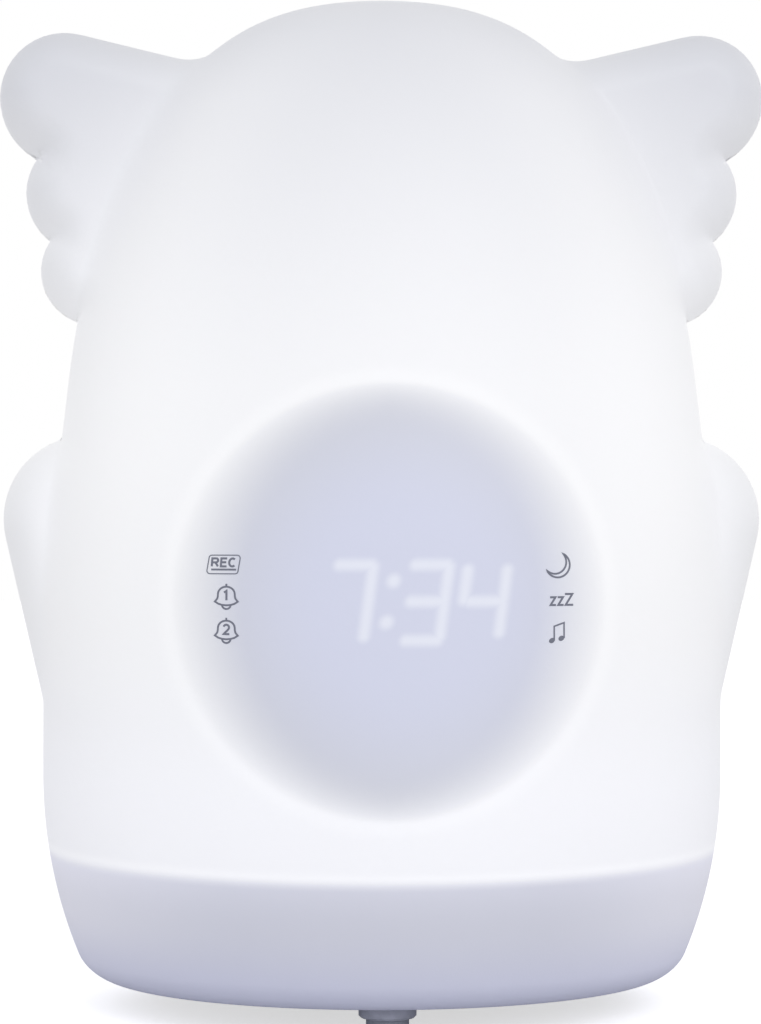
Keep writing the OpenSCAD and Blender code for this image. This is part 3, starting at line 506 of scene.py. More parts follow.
def circle_points(r, n=48, a=0.0, b=360.0):
    """Points on an arc round the origin, from angle a to angle b."""
    return [turn(0, r, d) for d in np.linspace(a, b, n + 1)]


def disc(r, n):
    """The points of a whole circle, each once."""
    return circle_points(r, n)[:-1]


def rounded_rectangle(w, h, r, n=10):
    points = []
    for right, up, start in ((1, 1, 0), (-1, 1, 90), (-1, -1, 180), (1, -1, 270)):
        points += [(right * (w / 2 - r) + x, up * (h / 2 - r) + z)
                   for x, z in circle_points(r, n, start, start + 90)]
    return points


def prism(name, outline, z, y0, y1):
    """A prism along y with the given outline round height z."""
    n = len(outline)
    points = [(x, y, z + dz) for y in (y0, y1) for x, dz in outline]
    faces = [tuple(range(n)), tuple(range(2 * n - 1, n - 1, -1))]
    faces += [(i, i + n, (i + 1) % n + n, (i + 1) % n) for i in range(n)]
    return mesh_piece(name, points, faces, smooth=False)


def cut_with(piece, cutters):
    """Cuts the closed cutters out of the piece and removes them."""
    for cutter in cutters:
        modifier = piece.modifiers.new(cutter.name, "BOOLEAN")
        modifier.operation = "DIFFERENCE"
        modifier.solver = "EXACT"
        modifier.object = cutter
    bpy.context.view_layer.update()
    graph = bpy.context.evaluated_depsgraph_get()
    cut = bpy.data.meshes.new_from_object(piece.evaluated_get(graph))
    piece.modifiers.clear()
    old, piece.data = piece.data, cut
    bpy.data.meshes.remove(old)
    for cutter in cutters:
        bpy.data.objects.remove(cutter)


window = rounded_rectangle(panel_w, panel_h, panel_corner)
cut_with(rear, [prism("window cutter", window, panel_z, window_from, behind),
                prism("plug cutter", disc(plug_r, 64), socket_z, plug_from, behind)])
for piece in (front, rear):
    piece.data.polygons.foreach_set("use_smooth", [True] * len(piece.data.polygons))
    piece.data.set_sharp_from_angle(angle=math.radians(40))
    print(piece.name, len(piece.data.polygons), "faces")

# %% [markdown]
# ## How much lamp light reaches each point, with painted light added
# The lamps stand on the deck inside the body. Their light fills the belly evenly, thins out towards
# the crown, and fades in the ears and arms, which lie beyond the hollow body. Painted light is added
# to that: a faint band along the inside of the body's side, against its shading there, and a lift on
# the faces of the ears that look down or sideways, which lie in shade. All this changes slowly over
# the skin, so it is stored as one number at each mesh point. What has a sharper edge, such as the
# clock's shadow and its digits, comes later in the material.

# %% Store the glow
attribute_name = "lamp_and_painted_light"
upper_z, ear_z = 120, 125
fade_at, fade_span, painted_band_in, painted_band_span = 16, 14, 14, 15


def glow_at(points, normals):
    """How strong the lamps' light is at each point; 1 is the middle of the belly. Painted light is
    added along the body's side and on the ears' faces that look down or sideways.
    """
    x, z = np.abs(points[:, 0]), points[:, 2]
    out = x - half_w(np.clip(z, belly_z, height))
    fade = lambda d: 1 / (1 + np.exp((d - fade_at) / fade_span))
    body = fade(out) / fade(-60)
    rise = ramp(z, upper_z, height - upper_z)
    through = body * (1 - 0.73 * rise ** 1.2) + 0.27 * (1 - body) * (1 - rise ** 2)
    tall = ramp(z, 60, 50) * ramp(height - 8 - z, 0, 15)
    # Painted light: a faint band along the inside of the body's side lifts the shading there.
    band = (0.06 + 0.12 * tall) * np.exp(-((out + painted_band_in) / painted_band_span) ** 2)
    # Painted light: the ears' faces that look down or sideways are lifted out of their shade.
    painted_ear_light = 0.65 * ramp(-normals[:, 2], 0, 1) + 0.2 * ramp(np.abs(normals[:, 0]), 0.4, 1)
    return through + band + painted_ear_light * (1 - body) * ramp(z, ear_z, 15)


for piece in (front, rear):
    mesh = piece.data
    points, normals = np.empty((2, len(mesh.vertices) * 3))
    mesh.vertices.foreach_get("co", points)
    mesh.vertices.foreach_get("normal", normals)
    glow = glow_at(points.reshape(-1, 3) / MM, normals.reshape(-1, 3))
    layer = mesh.attributes.new(attribute_name, "FLOAT", "POINT")
    layer.data.foreach_set("value", glow.astype(np.float32))
    print(piece.name, "glow from", round(float(glow.min()), 3), "to", round(float(glow.max()), 3))

# %% [markdown]
# ## Shared effects
# Fine grain and worn edges turn up on nearly every finish here. Copying their nodes into each
# material would be hard to change later, so each effect is one node group that is built once and
# placed with its own values. A group puts out only masks and heights. The shader itself stays in
# each material, where short functions lead a mask or a height to its colour, roughness or bump.

# %% Node groups
FLOAT, VECTOR = "NodeSocketFloat", "NodeSocketVector"


def new_group(name, inputs, *results):
    """A node group whose results are numbers. Returns it and the sockets of its two ends."""
    group = bpy.data.node_groups.new(name, "ShaderNodeTree")
    for label, kind, value in inputs:
        socket = group.interface.new_socket(label, in_out="INPUT", socket_type=kind)
        if value is not None:
            socket.default_value = value
    for label in results:
        group.interface.new_socket(label, in_out="OUTPUT", socket_type=FLOAT)
    given, result = group.nodes.new("NodeGroupInput"), group.nodes.new("NodeGroupOutput")
    return group, given.outputs, result.inputs


def use_group(tree, group, **values):
    """Places a group and returns its outputs; spaces in a socket's name are written as _."""
    inputs = {label.replace("_", " "): value for label, value in values.items()}
    return add_node(tree, "Group", inputs, node_tree=group).outputs


grain_group, given, result = new_group(
    "fine grain", [("Scale", FLOAT, 1500), ("Patch Scale", FLOAT, 40)], "Height", "Patches")
place = object_place(grain_group)
for label, source, detail in (("Height", "Scale", 3), ("Patches", "Patch Scale", 4)):
    texture = next_node("TexNoise", {"Vector": place, "Scale": given[source], "Detail": detail})
    feed(texture.outputs["Fac"], result[label])

wear_group, given, result = new_group(
    "worn edges", [("Amount", FLOAT, 0.5), ("Scale", FLOAT, 300)], "Mask")
pointed = add_node(wear_group, "NewGeometry").outputs["Pointiness"]
breakup = next_node("TexNoise", {"Vector": object_place(wear_group), "Scale": given["Scale"]})
edge = map_range(pointed, 0.52, 0.62)
spots = map_range(breakup.outputs["Fac"], 0.4, 0.65)
feed(times(edge, spots, given["Amount"]), result["Mask"])
print("groups:", [g.name for g in bpy.data.node_groups])

# %% Start of a finish
bump_depth = 0.1 * MM


def new_finish(name, scale, patch_scale):
    """A material with fine grain: the material, its tree, its shader and the grain's outputs."""
    material, tree, out = empty_material(name)
    shader = add_node(tree, "BsdfPrincipled")
    feed(shader.outputs[0], out.inputs["Surface"])
    return material, tree, shader, use_group(tree, grain_group, Scale=scale, Patch_Scale=patch_scale)


def set_colour(shader, mask, a, b):
    """Base colour a, and b where the mask is 1."""
    feed(mix_colour(mask, a, b), shader.inputs["Base Color"])


def set_roughness(shader, noise, low, high):
    feed(map_range(noise, 0.3, 0.7, low, high), shader.inputs["Roughness"])


def set_bump(shader, relief, strength):
    bump = next_node("Bump", {"Height": relief, "Strength": strength, "Distance": bump_depth})
    feed(bump.outputs[0], shader.inputs["Normal"])


def patchy(name, scale, patch_scale, colours, roughness):
    """A finish in two close colours, and its shader; colours and roughness are pairs."""
    material, tree, shader, grain = new_finish(name, scale, patch_scale)
    set_colour(shader, grain["Patches"], *colours)
    set_roughness(shader, grain["Height"], *roughness)
    return material, shader


def scaled(colour, share):
    return tuple(c * share for c in colour)


def inverse(mask):
    return math_node("SUBTRACT", 1.0, mask)


print("bump depth:", bump_depth, "m")

# %% [markdown]
# ## A bar of light
# Each lit stroke of the clock shows through the wall as a bar with soft edges. It could be painted
# into a mesh, but its mask is simply the distance to a rectangle with round ends, and a formula
# stays clean at any size. One group draws one bar, and the digits place it once for each stroke.


# %% Group for one bar
def vector_node(kind, *values, output=0):
    """A Vector Math node; its output 0 is a vector and its output 1 a number."""
    return next_node("VectorMath", dict(enumerate(values)), operation=kind).outputs[output]


bar_group, given, result = new_group(
    "light bar", [("Place", VECTOR, None), ("Centre", VECTOR, None), ("Half Size", VECTOR, None),
                  ("Radius", FLOAT, 0.9), ("Softness", FLOAT, 0.5)], "Mask")
off = vector_node("SUBTRACT", given["Place"], given["Centre"])
off = vector_node("ABSOLUTE", off)
off = vector_node("SUBTRACT", off, given["Half Size"])
off = vector_node("MAXIMUM", off, (0.0, 0.0, 0.0))
away = vector_node("LENGTH", off, output=1)
away = math_node("SUBTRACT", away, given["Radius"])
away = math_node("DIVIDE", away, given["Softness"])
feed(map_range(away, 1, -1), result["Mask"])
print("bar group nodes:", len(bar_group.nodes))

# %% [markdown]
# ## The milky shell
# The plastic itself is a cool pale grey with a satin skin. Over its lowest 20 mm its colour turns
# darker and bluer, which is painted shade. Light that comes through from inside is added as
# emission, because tracing it through the wall would take far longer and look no better.
# It is full above the deck and leaks a little way below it. In front of the clock the drum keeps it
# off the wall, so there the cool, weaker light of the clock shows. The drum stands a little behind
# the wall, so its shadow has a soft edge.

# %% Plastic of the shell
milky, tree, shell, grain = new_finish("milky shell", 1800, 25)
set_roughness(shell, grain["Patches"], 0.46, 0.56)
set_bump(shell, grain["Height"], 0.12)
in_mm = next_node("VectorMath", {0: object_place(tree), "Scale": 1 / MM}, operation="SCALE")
x, y, z = next_node("SeparateXYZ", {0: in_mm.outputs[0]}).outputs
upper = mix_colour(grain["Patches"], (0.698, 0.709, 0.768), (0.723, 0.734, 0.793))
# Painted shade: towards the bottom the shell's colour is darker and bluer.
lower = mix_colour(grain["Patches"], (0.644, 0.664, 0.806), (0.669, 0.689, 0.831))
set_colour(shell, map_range(z, 2, 22), lower, upper)
print("shell nodes:", len(tree.nodes))

# %% [markdown]
# ### Light through the wall, and painted light below the deck
# Each light in the wall is a mask and a colour. Two of them are painted light on the closed base
# below the deck, where no lamp shines: a lift at its sides and a faint cool lift that fades out at
# its bottom. The masks are made of a few places: the deck's level, which bows down to the sides,
# and the distance and direction from the clock's middle.

# %% Places on the wall
deck_bow, clock_z = 0.00027, drum_z + 0.4
shadow_in, shadow_out = 31, 40.3


def length_of(a, b):
    """The length of the flat vector (a, b)."""
    return math_node("SQRT", math_node("ADD", times(a, a), times(b, b)))


def ridge(value, middle, reach):
    """1 where value is at the middle, 0 beyond reach on both sides."""
    off = math_node("ABSOLUTE", math_node("SUBTRACT", value, middle))
    return map_range(off, reach, 0)


level = math_node("SUBTRACT", z, times(x, x, deck_bow))
above = map_range(level, deck_z - 1.2, deck_z + 1.6)
below = inverse(above)
at_front = math_node("LESS_THAN", y, 0.0)
across = math_node("ABSOLUTE", x)
up = math_node("SUBTRACT", z, clock_z)
radius = length_of(x, up)
side = math_node("DIVIDE", across, math_node("ADD", radius, 0.1))
start = math_node("MULTIPLY_ADD", side, -4.0, shadow_in)
clear = math_node("DIVIDE", math_node("SUBTRACT", radius, start),
                  math_node("SUBTRACT", shadow_out, start), clamp=True)
clear = math_node("POWER", clear, math_node("MULTIPLY_ADD", side, -1.65, 2.75))
shade = times(inverse(clear), at_front)
unshaded = inverse(shade)
print("clock centre at", clock_z, "mm")

# %% Lights in the wall
lamp = add_node(tree, "Attribute", attribute_name=attribute_name).outputs["Fac"]
leak = math_node("POWER", map_range(level, 20, deck_z, kind="LINEAR"), 2.0)
# Painted light on the sides of the closed base, where no lamp shines.
painted_base_side_light = times(map_range(across, 25, 68), map_range(z, 3, 22))
core = map_range(length_of(math_node("SUBTRACT", x, 3), up), 46, 14)
deck_edge = times(ridge(level, deck_z + 1.3, 1.6), 0.035)
drum_edge = times(ridge(radius, 41.2, 2.6), at_front, 0.022)
lights = [
    # Lamp light; the stored number also carries the painted light along the body's side and on the ears.
    (times(lamp, unshaded, above), (0.300, 0.294, 0.266)),
    (times(leak, below), (0.062, 0.062, 0.072)),
    # painted light: lifts the sides of the closed base
    (times(painted_base_side_light, below), (0.125, 0.120, 0.118)),
    # painted light: a faint cool lift over the closed base, fading out towards its bottom edge
    (times(map_range(z, 2, 12), below), (0.005, 0.005, 0.036)),
    (times(map_range(z, 80, 40), above, unshaded), (0.020, 0.022, 0.042)),
    (times(core, shade), (0.028, 0.040, 0.124)),
    (math_node("ADD", deck_edge, drum_edge), (1.0, 1.0, 0.9)),
]
print("lights in the wall:", len(lights))

# %% [markdown]
# ## The time in the shell
# The clock shows 7:34 in digits of seven strokes that lean a little. The lean is first taken out of
# the coordinates, so that every bar is upright or level. A stroke is named by its place, as
# electronics makers do: a is the top, b and c the right side, d the bottom, e and f the left side,
# and g the middle.

# %% Digits
digit_h, digit_w, stroke = 15.0, 7.6, 1.9
digit_pitch, colon_pitch, digit_lean = 10.8, 13.8, 7.8
half_x, half_z = (digit_w - stroke) / 2, (digit_h - stroke) / 2
level_bar, upright_bar = (half_x, 0), (0, half_z / 2 - 0.3)
strokes = {"a": (-0.4, half_z + 0.1, level_bar), "g": (-0.4, 0, level_bar),
           "d": (-0.4, -half_z - 0.5, level_bar), "b": (half_x, half_z / 2, upright_bar),
           "c": (half_x, -half_z / 2, upright_bar), "f": (-half_x - 1.6, half_z / 2, upright_bar)}
time_shown = ((-colon_pitch / 2, "abc", 0), (colon_pitch / 2, "abgcd", 0),
              (colon_pitch / 2 + digit_pitch, "fgbc", 0.32))
bar_r, dot_r, blur = 1.0, 1.2, 0.9

lean = times(up, math.tan(math.radians(digit_lean)))
spot = next_node("CombineXYZ", {0: math_node("SUBTRACT", x, lean), 1: up}).outputs[0]


def light_bar(bar_x, bar_z, half_size, radius):
    """The mask of one bar, or of a dot where its half size is 0."""
    return use_group(tree, bar_group, Place=spot, Centre=(bar_x, bar_z, 0),
                     Half_Size=(*half_size, 0), Radius=radius, Softness=blur)["Mask"]


masks = [light_bar(0.15 * (sign - 1), sign * digit_h / 4, (0, 0), dot_r) for sign in (-1, 1)]
for digit_x, names, trim in time_shown:
    for name in names:
        bar_x, bar_z, (wide, tall) = strokes[name]
        if tall:
            bar_z -= math.copysign(trim, bar_z)
            tall -= trim
        masks.append(light_bar(digit_x + bar_x, bar_z, (wide, tall), bar_r))
time_light = masks[0]
for mask in masks[1:]:
    time_light = math_node("MAXIMUM", time_light, mask)
lights.append((times(time_light, at_front), (0.125, 0.125, 0.085)))
print("bars and dots of light:", len(masks))

# %% Sum of the lights
glow = (0, 0, 0)
for mask, colour in lights:
    glow = mix_colour(1.0, glow, mix_colour(1.0, colour, mask, "MULTIPLY"), "ADD")
feed(glow, shell.inputs["Emission Color"])
shell.inputs["Emission Strength"].default_value = 1.0
for piece, node in ((front, "front_shell"), (rear, "rear_shell")):
    piece.data.materials.clear()
    piece.data.materials.append(milky)
    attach(piece, "housing")
    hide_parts(node)
print("shell nodes:", len(tree.nodes))

# %% [markdown]
# ## Printing
# The function marks are pad-printed on the shell: small line drawings in one grey ink. Each line is
# a closed strip that lies on the curved wall and sinks a hair into it. Its edges are offset from a
# path with mitred corners, and the depth of every point is read from the same function that shaped
# the wall, so the ink follows the belly exactly.


# %% Strips along a path
def resampled(path, step):
    """Adds points so that no stretch is longer than step."""
    points = [np.array(path[0], float)]
    for b in path[1:]:
        a, b = points[-1], np.array(b, float)
        points += line(a, b, max(1, math.ceil(np.linalg.norm(b - a) / step)))
    return np.array(points)


def strip_edges(path, width, closed):
    """Points to the left and right of a path, mitred at its corners."""
    if closed:
        before, after = path - np.roll(path, 1, 0), np.roll(path, -1, 0) - path
    else:
        steps = np.diff(path, axis=0)
        before, after = np.vstack([steps[:1], steps]), np.vstack([steps, steps[-1:]])
    before, after = unit(before), unit(after)
    across = lambda v: np.stack([-v[:, 1], v[:, 0]], 1)
    normal = unit(across(before + after))
    mitre = 1 / np.maximum(0.5, (normal * across(before)).sum(1))
    offset = normal * (mitre * width / 2)[:, None]
    return path + offset, path - offset


class Marks:
    """Collects strips and filled shapes, given in x and z, and lays them on a surface."""

    def __init__(self):
        self.flat, self.sides, self.faces = [], [], []

    def _add(self, points, side):
        self.flat += [tuple(p) for p in points]
        self.sides += [side] * len(points)

    def line(self, path, width, closed=False, step=0.8):
        path = resampled(list(path) + ([path[0]] if closed else []), step)
        path = path[:-1] if closed else path
        left, right = strip_edges(path, width, closed)
        start, n = len(self.flat), len(path)
        for points, side in ((left, 1), (right, 1), (right, 0), (left, 0)):
            self._add(points, side)
        corner = lambda row, i: start + row % 4 * n + i % n
        self.faces += [(corner(row, i), corner(row, i + 1), corner(row + 1, i + 1), corner(row + 1, i))
                       for i in range(n if closed else n - 1) for row in range(4)]
        if not closed:
            self.faces += [tuple(corner(row, i) for row in range(4)) for i in (0, n - 1)]

    def fill(self, outline):
        start, n = len(self.flat), len(outline)
        for side in (1, 0):
            self._add(outline, side)
        self.faces += [tuple(range(start, start + n)), tuple(range(start + n, start + 2 * n))]
        self.faces += [(start + i, start + (i + 1) % n, start + n + (i + 1) % n, start + n + i)
                       for i in range(n)]

    def piece(self, name, surface, material):
        """surface(points, side) gives y for the points' upper (1) or sunken (0) side."""
        flat, sides = np.array(self.flat), np.array(self.sides)
        points = np.stack([flat[:, 0], surface(flat, sides), flat[:, 1]], 1)
        made = mesh_piece(name, points, self.faces, material, smooth=False)
        form = bmesh.new()
        form.from_mesh(made.data)
        bmesh.ops.recalc_face_normals(form, faces=form.faces)
        form.to_mesh(made.data)
        form.free()
        return made


def moved(path, dx, dz, scale=1.0, lean=0.0):
    """A path scaled, leant and moved."""
    return [(dx + scale * (x + lean * z), dz + scale * z) for x, z in path]


print("strip maker ready")

# %% [markdown]
# ## Drawings
# Each mark is a short list of points or arcs in its own small frame: a bell, a moon, a note and a
# few plain letters and numbers. The bell, the note and the z serve twice, as print on the front and
# as raised symbols on the keys behind.

# %% Bell, moon, note, letters
bell_dome = [(1.55 * math.cos(a), -1.35 + 1.35 * math.sin(a)) for a in np.linspace(0, math.pi, 15)]
bell_side = [(-1.57, -1.75), (-1.66, -2.15), (-1.88, -2.45), (-2.12, -2.72)]
bell_foot = [(-1.5, -3.12), (-0.8, -3.33), (0, -3.4), (0.8, -3.33), (1.5, -3.12)]
bell_body = bell_dome + bell_side + bell_foot + [(-x, z) for x, z in bell_side[::-1]]
bell_clapper = moved(circle_points(0.8, 12, 190, 350), 0, -3.28)
bell_stem = [(0, 0.0), (0, 0.52)]
moon_r, moon_inner_r, moon_shift = 2.45, 2.3, 0.79
tips = (moon_r ** 2 - moon_inner_r ** 2 + moon_shift ** 2) / (2 * moon_shift)
outer_angle = math.degrees(math.acos(tips / moon_r))
inner_angle = math.degrees(math.acos((tips - moon_shift) / moon_inner_r))
moon_body = circle_points(moon_r, 24, 135 - outer_angle, -225 + outer_angle)
moon_body += moved(circle_points(moon_inner_r, 20, -225 + inner_angle, 135 - inner_angle),
                   -moon_shift / math.sqrt(2), moon_shift / math.sqrt(2))[1:-1]
note_stem = [(-0.42, -2.1), (-0.42, 0.5), (1.46, 1.15), (1.46, -1.7)]
note_heads = [(-0.87, -2.1), (0.93, -1.72)]
note_head = [(0.55 * a, 0.48 * b + 0.1 * a) for a, b in disc(1, 16)]
one = [(-0.42, 0.55), (0.02, 0.86), (0.02, -0.86)]
two = (moved(circle_points(0.5, 9, 165, -35), 0, 0.38)
       + [(0.1, -0.25), (-0.52, -0.84), (0.56, -0.84)])
zed = [(-0.03, 1), (0.75, 1), (0.05, 0), (0.83, 0)]
letter_r = [[(0, 0), (0, 1), (0.5, 1)] + moved(circle_points(0.25, 7, 90, -90), 0.5, 0.75)[1:]
            + [(0, 0.5)], [(0.42, 0.5), (0.78, 0)]]
letter_e = [[(0.72, 0), (0, 0), (0, 1), (0.72, 1)], [(0, 0.52), (0.64, 0.52)]]
letter_c = [[(0.4 + 0.41 * x, 0.5 + 0.5 * z) for x, z in circle_points(1, 16, 48, 312)]]


def draw_bell(marks, x, z, width, scale=1.0):
    marks.line(moved(bell_body, x, z, scale), width, closed=True, step=0.4)
    for path in (bell_clapper, bell_stem):
        marks.line(moved(path, x, z, scale), width)


def draw_note(marks, x, z, width, scale=1.0):
    marks.line(moved(note_stem, x, z, scale), width)
    for head_x, head_z in note_heads:
        marks.fill(moved(moved(note_head, head_x, head_z), x, z, scale))


print("drawings:", len(bell_body), len(moon_body), len(two))

# %% Ink on the shell
ink_colours = (0.155, 0.165, 0.215), (0.205, 0.215, 0.275)
ink, _ = patchy("grey print ink", 6000, 900, ink_colours, (0.45, 0.6))
bell_x, bell_tops, number_drop = -29.9, (84.0, 77.8), 1.62
line_w, letter_w, note_w, frame_w = 0.34, 0.38, 0.29, 0.2
frame_x, frame_z, frame_r = -30, 88, 0.55
ink_proud, ink_sunk = 0.035, 0.03

print_marks = Marks()
frame_corners = ((-27.35, 89.75, 0), (-33.1, 89.75, 90), (-33.5, 86.35, 180), (-27.75, 86.35, 270))
frame_path = []
for corner_x, corner_z, start in frame_corners:
    toward_x = corner_x - math.copysign(frame_r, corner_x - frame_x)
    toward_z = corner_z - math.copysign(frame_r, corner_z - frame_z)
    frame_path += moved(circle_points(frame_r, 5, start, start + 90), toward_x, toward_z)
print_marks.line(frame_path, frame_w, closed=True)
for letter, letter_x in ((letter_r, -32.6), (letter_e, -30.92), (letter_c, -29.42)):
    for path in letter:
        print_marks.line(moved(path, letter_x, 87.7, 1.46, lean=0.08), letter_w)
print_marks.line([(-32.7, 87.12), (-28.1, 87.12)], line_w)
for top, number in zip(bell_tops, (one, two)):
    draw_bell(print_marks, bell_x, top, line_w)
    print_marks.line(moved(number, bell_x, top - number_drop), letter_w)
print_marks.line(moved(moon_body, 30.85, 87.95, 0.94), line_w, closed=True, step=0.4)
for zed_x, size in ((29.4, 1.5), (30.85, 1.5), (32.25, 2.1)):
    print_marks.line(moved([(x * 0.92, z) for x, z in zed], zed_x, 80.6, size * 0.95), letter_w)
draw_note(print_marks, 30.55, 76.2, note_w)


def on_belly(points, side):
    """The ink's upper side stands on the wall, its lower side is sunk in it."""
    return -(stand(points) + np.where(side == 1, ink_proud, -ink_sunk))


printed = print_marks.piece("printed_marks", on_belly, ink)
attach(printed, "housing")
print("printed faces:", len(printed.data.polygons))

# %% [markdown]
# ## Symbols on the keys
# Eight keys are set in the panel behind. Each carries a dark symbol, moulded a little proud of its
# face. The face is a shallow dish, so the height of a symbol's points follows from their distance
# to the key's axis. The viewer stands behind the lamp there, so a drawing's x runs the other way.

# %% Draw the symbols
key_line, bold_line = 0.42, 0.55
level_stroke, upright_stroke = [(-1.7, 0), (1.7, 0)], [(0, -1.7), (0, 1.7)]


def draw_light(marks):
    marks.line(disc(1.0, 24), key_line, closed=True)
    for angle in range(0, 360, 45):
        marks.line([turn(0, 1.6, angle), turn(0, 2.4, angle)], key_line)


def draw_record(marks):
    marks.fill(disc(1.15, 28))
    marks.line(disc(2.1, 36), key_line, closed=True)


def draw_sleep(marks):
    for zed_x, zed_z in ((-2.1, -1.4), (0.3, -0.2)):
        marks.line(moved(zed, zed_x, zed_z, 2.0), key_line)


def draw_clock(marks):
    marks.line(disc(2.2, 36), key_line, closed=True)
    marks.line([(0, 1.4), (0, 0), (1.0, -0.5)], key_line)


def draw_plus(marks):
    for path in (level_stroke, upright_stroke):
        marks.line(path, bold_line)


symbols = {
    "key_light": draw_light,
    "key_music": lambda marks: draw_note(marks, -0.4, 0.5, key_line, 1.1),
    "key_record": draw_record,
    "key_sleep": draw_sleep,
    "key_time": draw_clock,
    "key_alarm": lambda marks: draw_bell(marks, 0, 1.5, key_line, 0.95),
    "key_minus": lambda marks: marks.line(level_stroke, bold_line),
    "key_plus": draw_plus,
}
print("drawn:", *symbols)

# %% Symbols as pieces
symbol_colours = (0.085, 0.085, 0.13), (0.12, 0.12, 0.17)
symbol_ink, _ = patchy("key symbol", 4000, 600, symbol_colours, (0.4, 0.55))
key_d, symbol_proud, symbol_sunk = 9.0, 0.12, 0.05

for name, draw in symbols.items():
    low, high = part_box(name)
    middle = (np.array(low) + np.array(high)) / 2 / MM
    key_top = high[1] / MM
    marks = Marks()
    draw(marks)
    marks.flat = [(middle[0] - u, middle[2] + v) for u, v in marks.flat]

    def on_key(points, side):
        """The key's face is dished: 0.3 mm deep in the middle, 0.15 mm at a radius of 2 mm."""
        r = np.linalg.norm(points - middle[[0, 2]], axis=1)
        dish = np.interp(r, [0, 2, key_d / 2 - 1], [0.3, 0.15, 0])
        return key_top - dish + np.where(side == 1, symbol_proud, -symbol_sunk)

    symbol = marks.piece("symbol_" + name.removeprefix("key_"), on_key, symbol_ink)
    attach(symbol, name + "_button")
print("symbols:", len(symbols))

# %% [markdown]
# ## Finishes of the other pieces
# Everything else keeps its form from the frame and only gets its finish. Most pieces are mouldings
# that differ in colour and gloss, so one function makes them all: two close colours in soft
# patches, a fine grain, and lighter edges where hands and tables have worn them.

# %% Moulded plastics and rubber
rub_gain, rub_lift, rub_limit = 1.35, 0.03, 0.9


def moulded(name, dark, light, roughness, grain_scale=1800, bump_strength=0.15, wear=0.4):
    """Satin plastic or rubber in two close colours; roughness is a pair."""
    material, tree, shader, grain = new_finish(name, grain_scale, 60)
    worn = use_group(tree, wear_group, Amount=wear, Scale=400)
    colour = mix_colour(grain["Patches"], dark, light)
    rubbed = tuple(min(rub_limit, c * rub_gain + rub_lift) for c in light)
    set_colour(shader, worn["Mask"], colour, rubbed)
    set_roughness(shader, grain["Patches"], *roughness)
    set_bump(shader, grain["Height"], bump_strength)
    return material


def finish(material, *names):
    """Gives the material to every slot of the named nodes."""
    for name in names:
        for slot in nodes[name].material_slots:
            slot.material = material


finish(moulded("base moulding", (0.44, 0.455, 0.54), (0.49, 0.505, 0.59), (0.42, 0.55)),
       "base_plate", "battery_door")
finish(moulded("white moulding", (0.66, 0.67, 0.71), (0.71, 0.72, 0.76), (0.4, 0.52)),
       "light_deck", "foot_bracket", "display_drum", "lamp_tubes")
finish(moulded("panel moulding", (0.615, 0.62, 0.685), (0.635, 0.64, 0.705), (0.4, 0.5), wear=0),
       "control_panel")
finish(moulded("key moulding", (0.40, 0.40, 0.50), (0.45, 0.45, 0.55), (0.3, 0.42), wear=0.6), *symbols)
finish(moulded("foot collar", (0.35, 0.365, 0.45), (0.39, 0.405, 0.49), (0.35, 0.45)), "foot_collar")
finish(moulded("press foot rubber", (0.26, 0.275, 0.34), (0.29, 0.305, 0.37), (0.5, 0.65), 2500, 0.3),
       "foot_plunger")
finish(moulded("foot rubber", (0.055, 0.058, 0.072), (0.075, 0.078, 0.095), (0.6, 0.8), 2500, 0.35, 0.7),
       "rear_feet")
finish(moulded("black moulding", (0.012, 0.012, 0.014), (0.02, 0.02, 0.023), (0.3, 0.45)),
       "power_socket", "speaker_frame", "foot_switch", "key_switches", "board_parts",
       "digit_housing")
finish(moulded("cone paper", (0.02, 0.02, 0.022), (0.035, 0.034, 0.034), (0.75, 0.95), 900, 0.8, 0.1),
       "speaker_cone")
print("moulded finishes:", sum(1 for m in bpy.data.materials if "moulding" in m.name))

# %% [markdown]
# ## Metals
# Screws, contacts, the spring and the socket's pin are plated steel. A metal shows mostly what it
# mirrors, so its look is in its roughness: fine turning marks round each screw come from a wave
# texture in rings, and drawn wire gets a finer, even grain.


# %% Plated and drawn steel
def steel(name, colour, roughness, turned):
    """Bare metal, with turning marks in rings or only a grain; roughness is a pair."""
    material, tree, shader, grain = new_finish(name, 5000 if turned else 2500, 300)
    shader.inputs["Metallic"].default_value = 1.0
    set_colour(shader, grain["Patches"], scaled(colour, 0.8), colour)
    marks = grain["Height"]
    if turned:
        inputs = {"Vector": object_place(tree), "Scale": 900, "Distortion": 2.0}
        rings = next_node("TexWave", inputs, wave_type="RINGS", rings_direction="Z")
        marks = times(marks, rings.outputs["Fac"])
    polish = map_range(marks, 0.1, 0.8, *roughness, kind="LINEAR")
    feed(polish, shader.inputs["Roughness"])
    set_bump(shader, marks, 0.1)
    return material


finish(steel("plated screw", (0.62, 0.62, 0.64), (0.22, 0.4), True),
       "base_screws", "door_screw", "board_screws", "light_screws", "drum_screws", "panel_screws")
finish(steel("drawn wire", (0.66, 0.67, 0.69), (0.18, 0.32), False),
       "foot_spring", "battery_contacts", "socket_pin", "microphone", "speaker_magnet")
print("metals done")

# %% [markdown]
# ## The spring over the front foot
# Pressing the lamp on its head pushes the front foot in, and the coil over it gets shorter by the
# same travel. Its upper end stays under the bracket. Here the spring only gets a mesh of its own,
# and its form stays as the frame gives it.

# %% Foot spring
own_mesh(nodes["foot_spring"])

# %% [markdown]
# ## Inner parts
# The boards, cables, cells and lamps are hidden when the lamp is closed, yet an open or cut model
# shows them. Circuit boards get copper tracks under a lacquer, drawn with a brick pattern; flat
# cables show their wires side by side; and the cells get a plain coloured sleeve between bare ends.


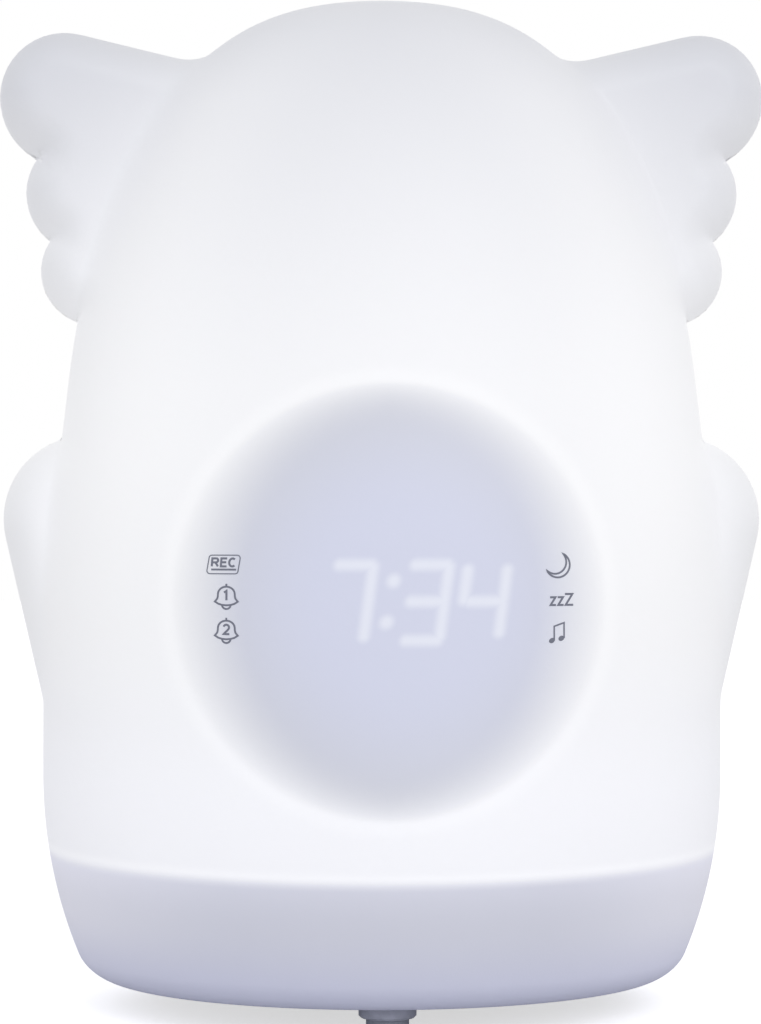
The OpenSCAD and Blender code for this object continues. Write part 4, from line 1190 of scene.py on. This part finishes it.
# %% Boards
def board(name, lacquer, track):
    """Glossy lacquer over broken rows of tracks."""
    material, tree, shader, grain = new_finish(name, 1500, 90)
    shader.inputs["Coat Weight"].default_value = 0.5
    inputs = {"Vector": object_place(tree), "Scale": 120, "Mortar Size": 0.06,
              "Color1": (1, 1, 1), "Color2": (1, 1, 1), "Mortar": (0, 0, 0)}
    between = next_node("TexBrick", inputs).outputs["Color"]
    mask = times(inverse(between), map_range(grain["Patches"], 0.45, 0.5))
    set_colour(shader, mask, lacquer, track)
    set_roughness(shader, grain["Height"], 0.25, 0.4)
    set_bump(shader, mask, 0.2)
    return material


finish(board("green board", (0.012, 0.13, 0.05), (0.03, 0.25, 0.1)),
       "main_board", "display_board", "key_board")
finish(board("white board", (0.72, 0.72, 0.70), (0.62, 0.62, 0.58)), "light_board")
print("boards done")


# %% Cables, cells and lamps
def striped(name, scale, low, high, dark, light, roughness):
    """Stripes across x; low and high set how wide the dark ones are."""
    material, tree, shader, grain = new_finish(name, 2500, 200)
    inputs = {"Vector": object_place(tree), "Scale": scale}
    wave = next_node("TexWave", inputs, bands_direction="X").outputs["Fac"]
    colour = mix_colour(map_range(wave, low, high), dark, light)
    set_colour(shader, times(grain["Patches"], 0.3), colour, scaled(light, 0.8))
    set_roughness(shader, grain["Height"], *roughness)
    return material


def lamp_resin(name, colour, glow):
    """Milky resin with the light of its chip in it."""
    material, shader = patchy(name, 3000, 250, (colour, scaled(colour, 0.9)), (0.15, 0.3))
    shader.inputs["Emission Color"].default_value = (*glow, 1)
    shader.inputs["Emission Strength"].default_value = 0.6
    return material


finish(striped("flat cable", 400, 0.2, 0.5, (0.22, 0.23, 0.25), (0.40, 0.41, 0.43), (0.4, 0.55)),
       "display_cable", "panel_cable")
finish(striped("cell sleeve", 3.5, 0.1, 0.14, (0.50, 0.50, 0.52), (0.40, 0.28, 0.06), (0.25, 0.4)),
       "battery_cells")
finish(lamp_resin("white lamp", (0.80, 0.76, 0.60), (1.0, 0.9, 0.75)), "night_leds", "mode_lamps")
finish(lamp_resin("digit resin", (0.72, 0.74, 0.82), (0.75, 0.8, 1.0)), "digit_lenses")

bare = [name for name, obj in nodes.items()
        if any(s.material is None or not s.material.use_nodes for s in obj.material_slots)]
print("nodes without a finish:", bare)
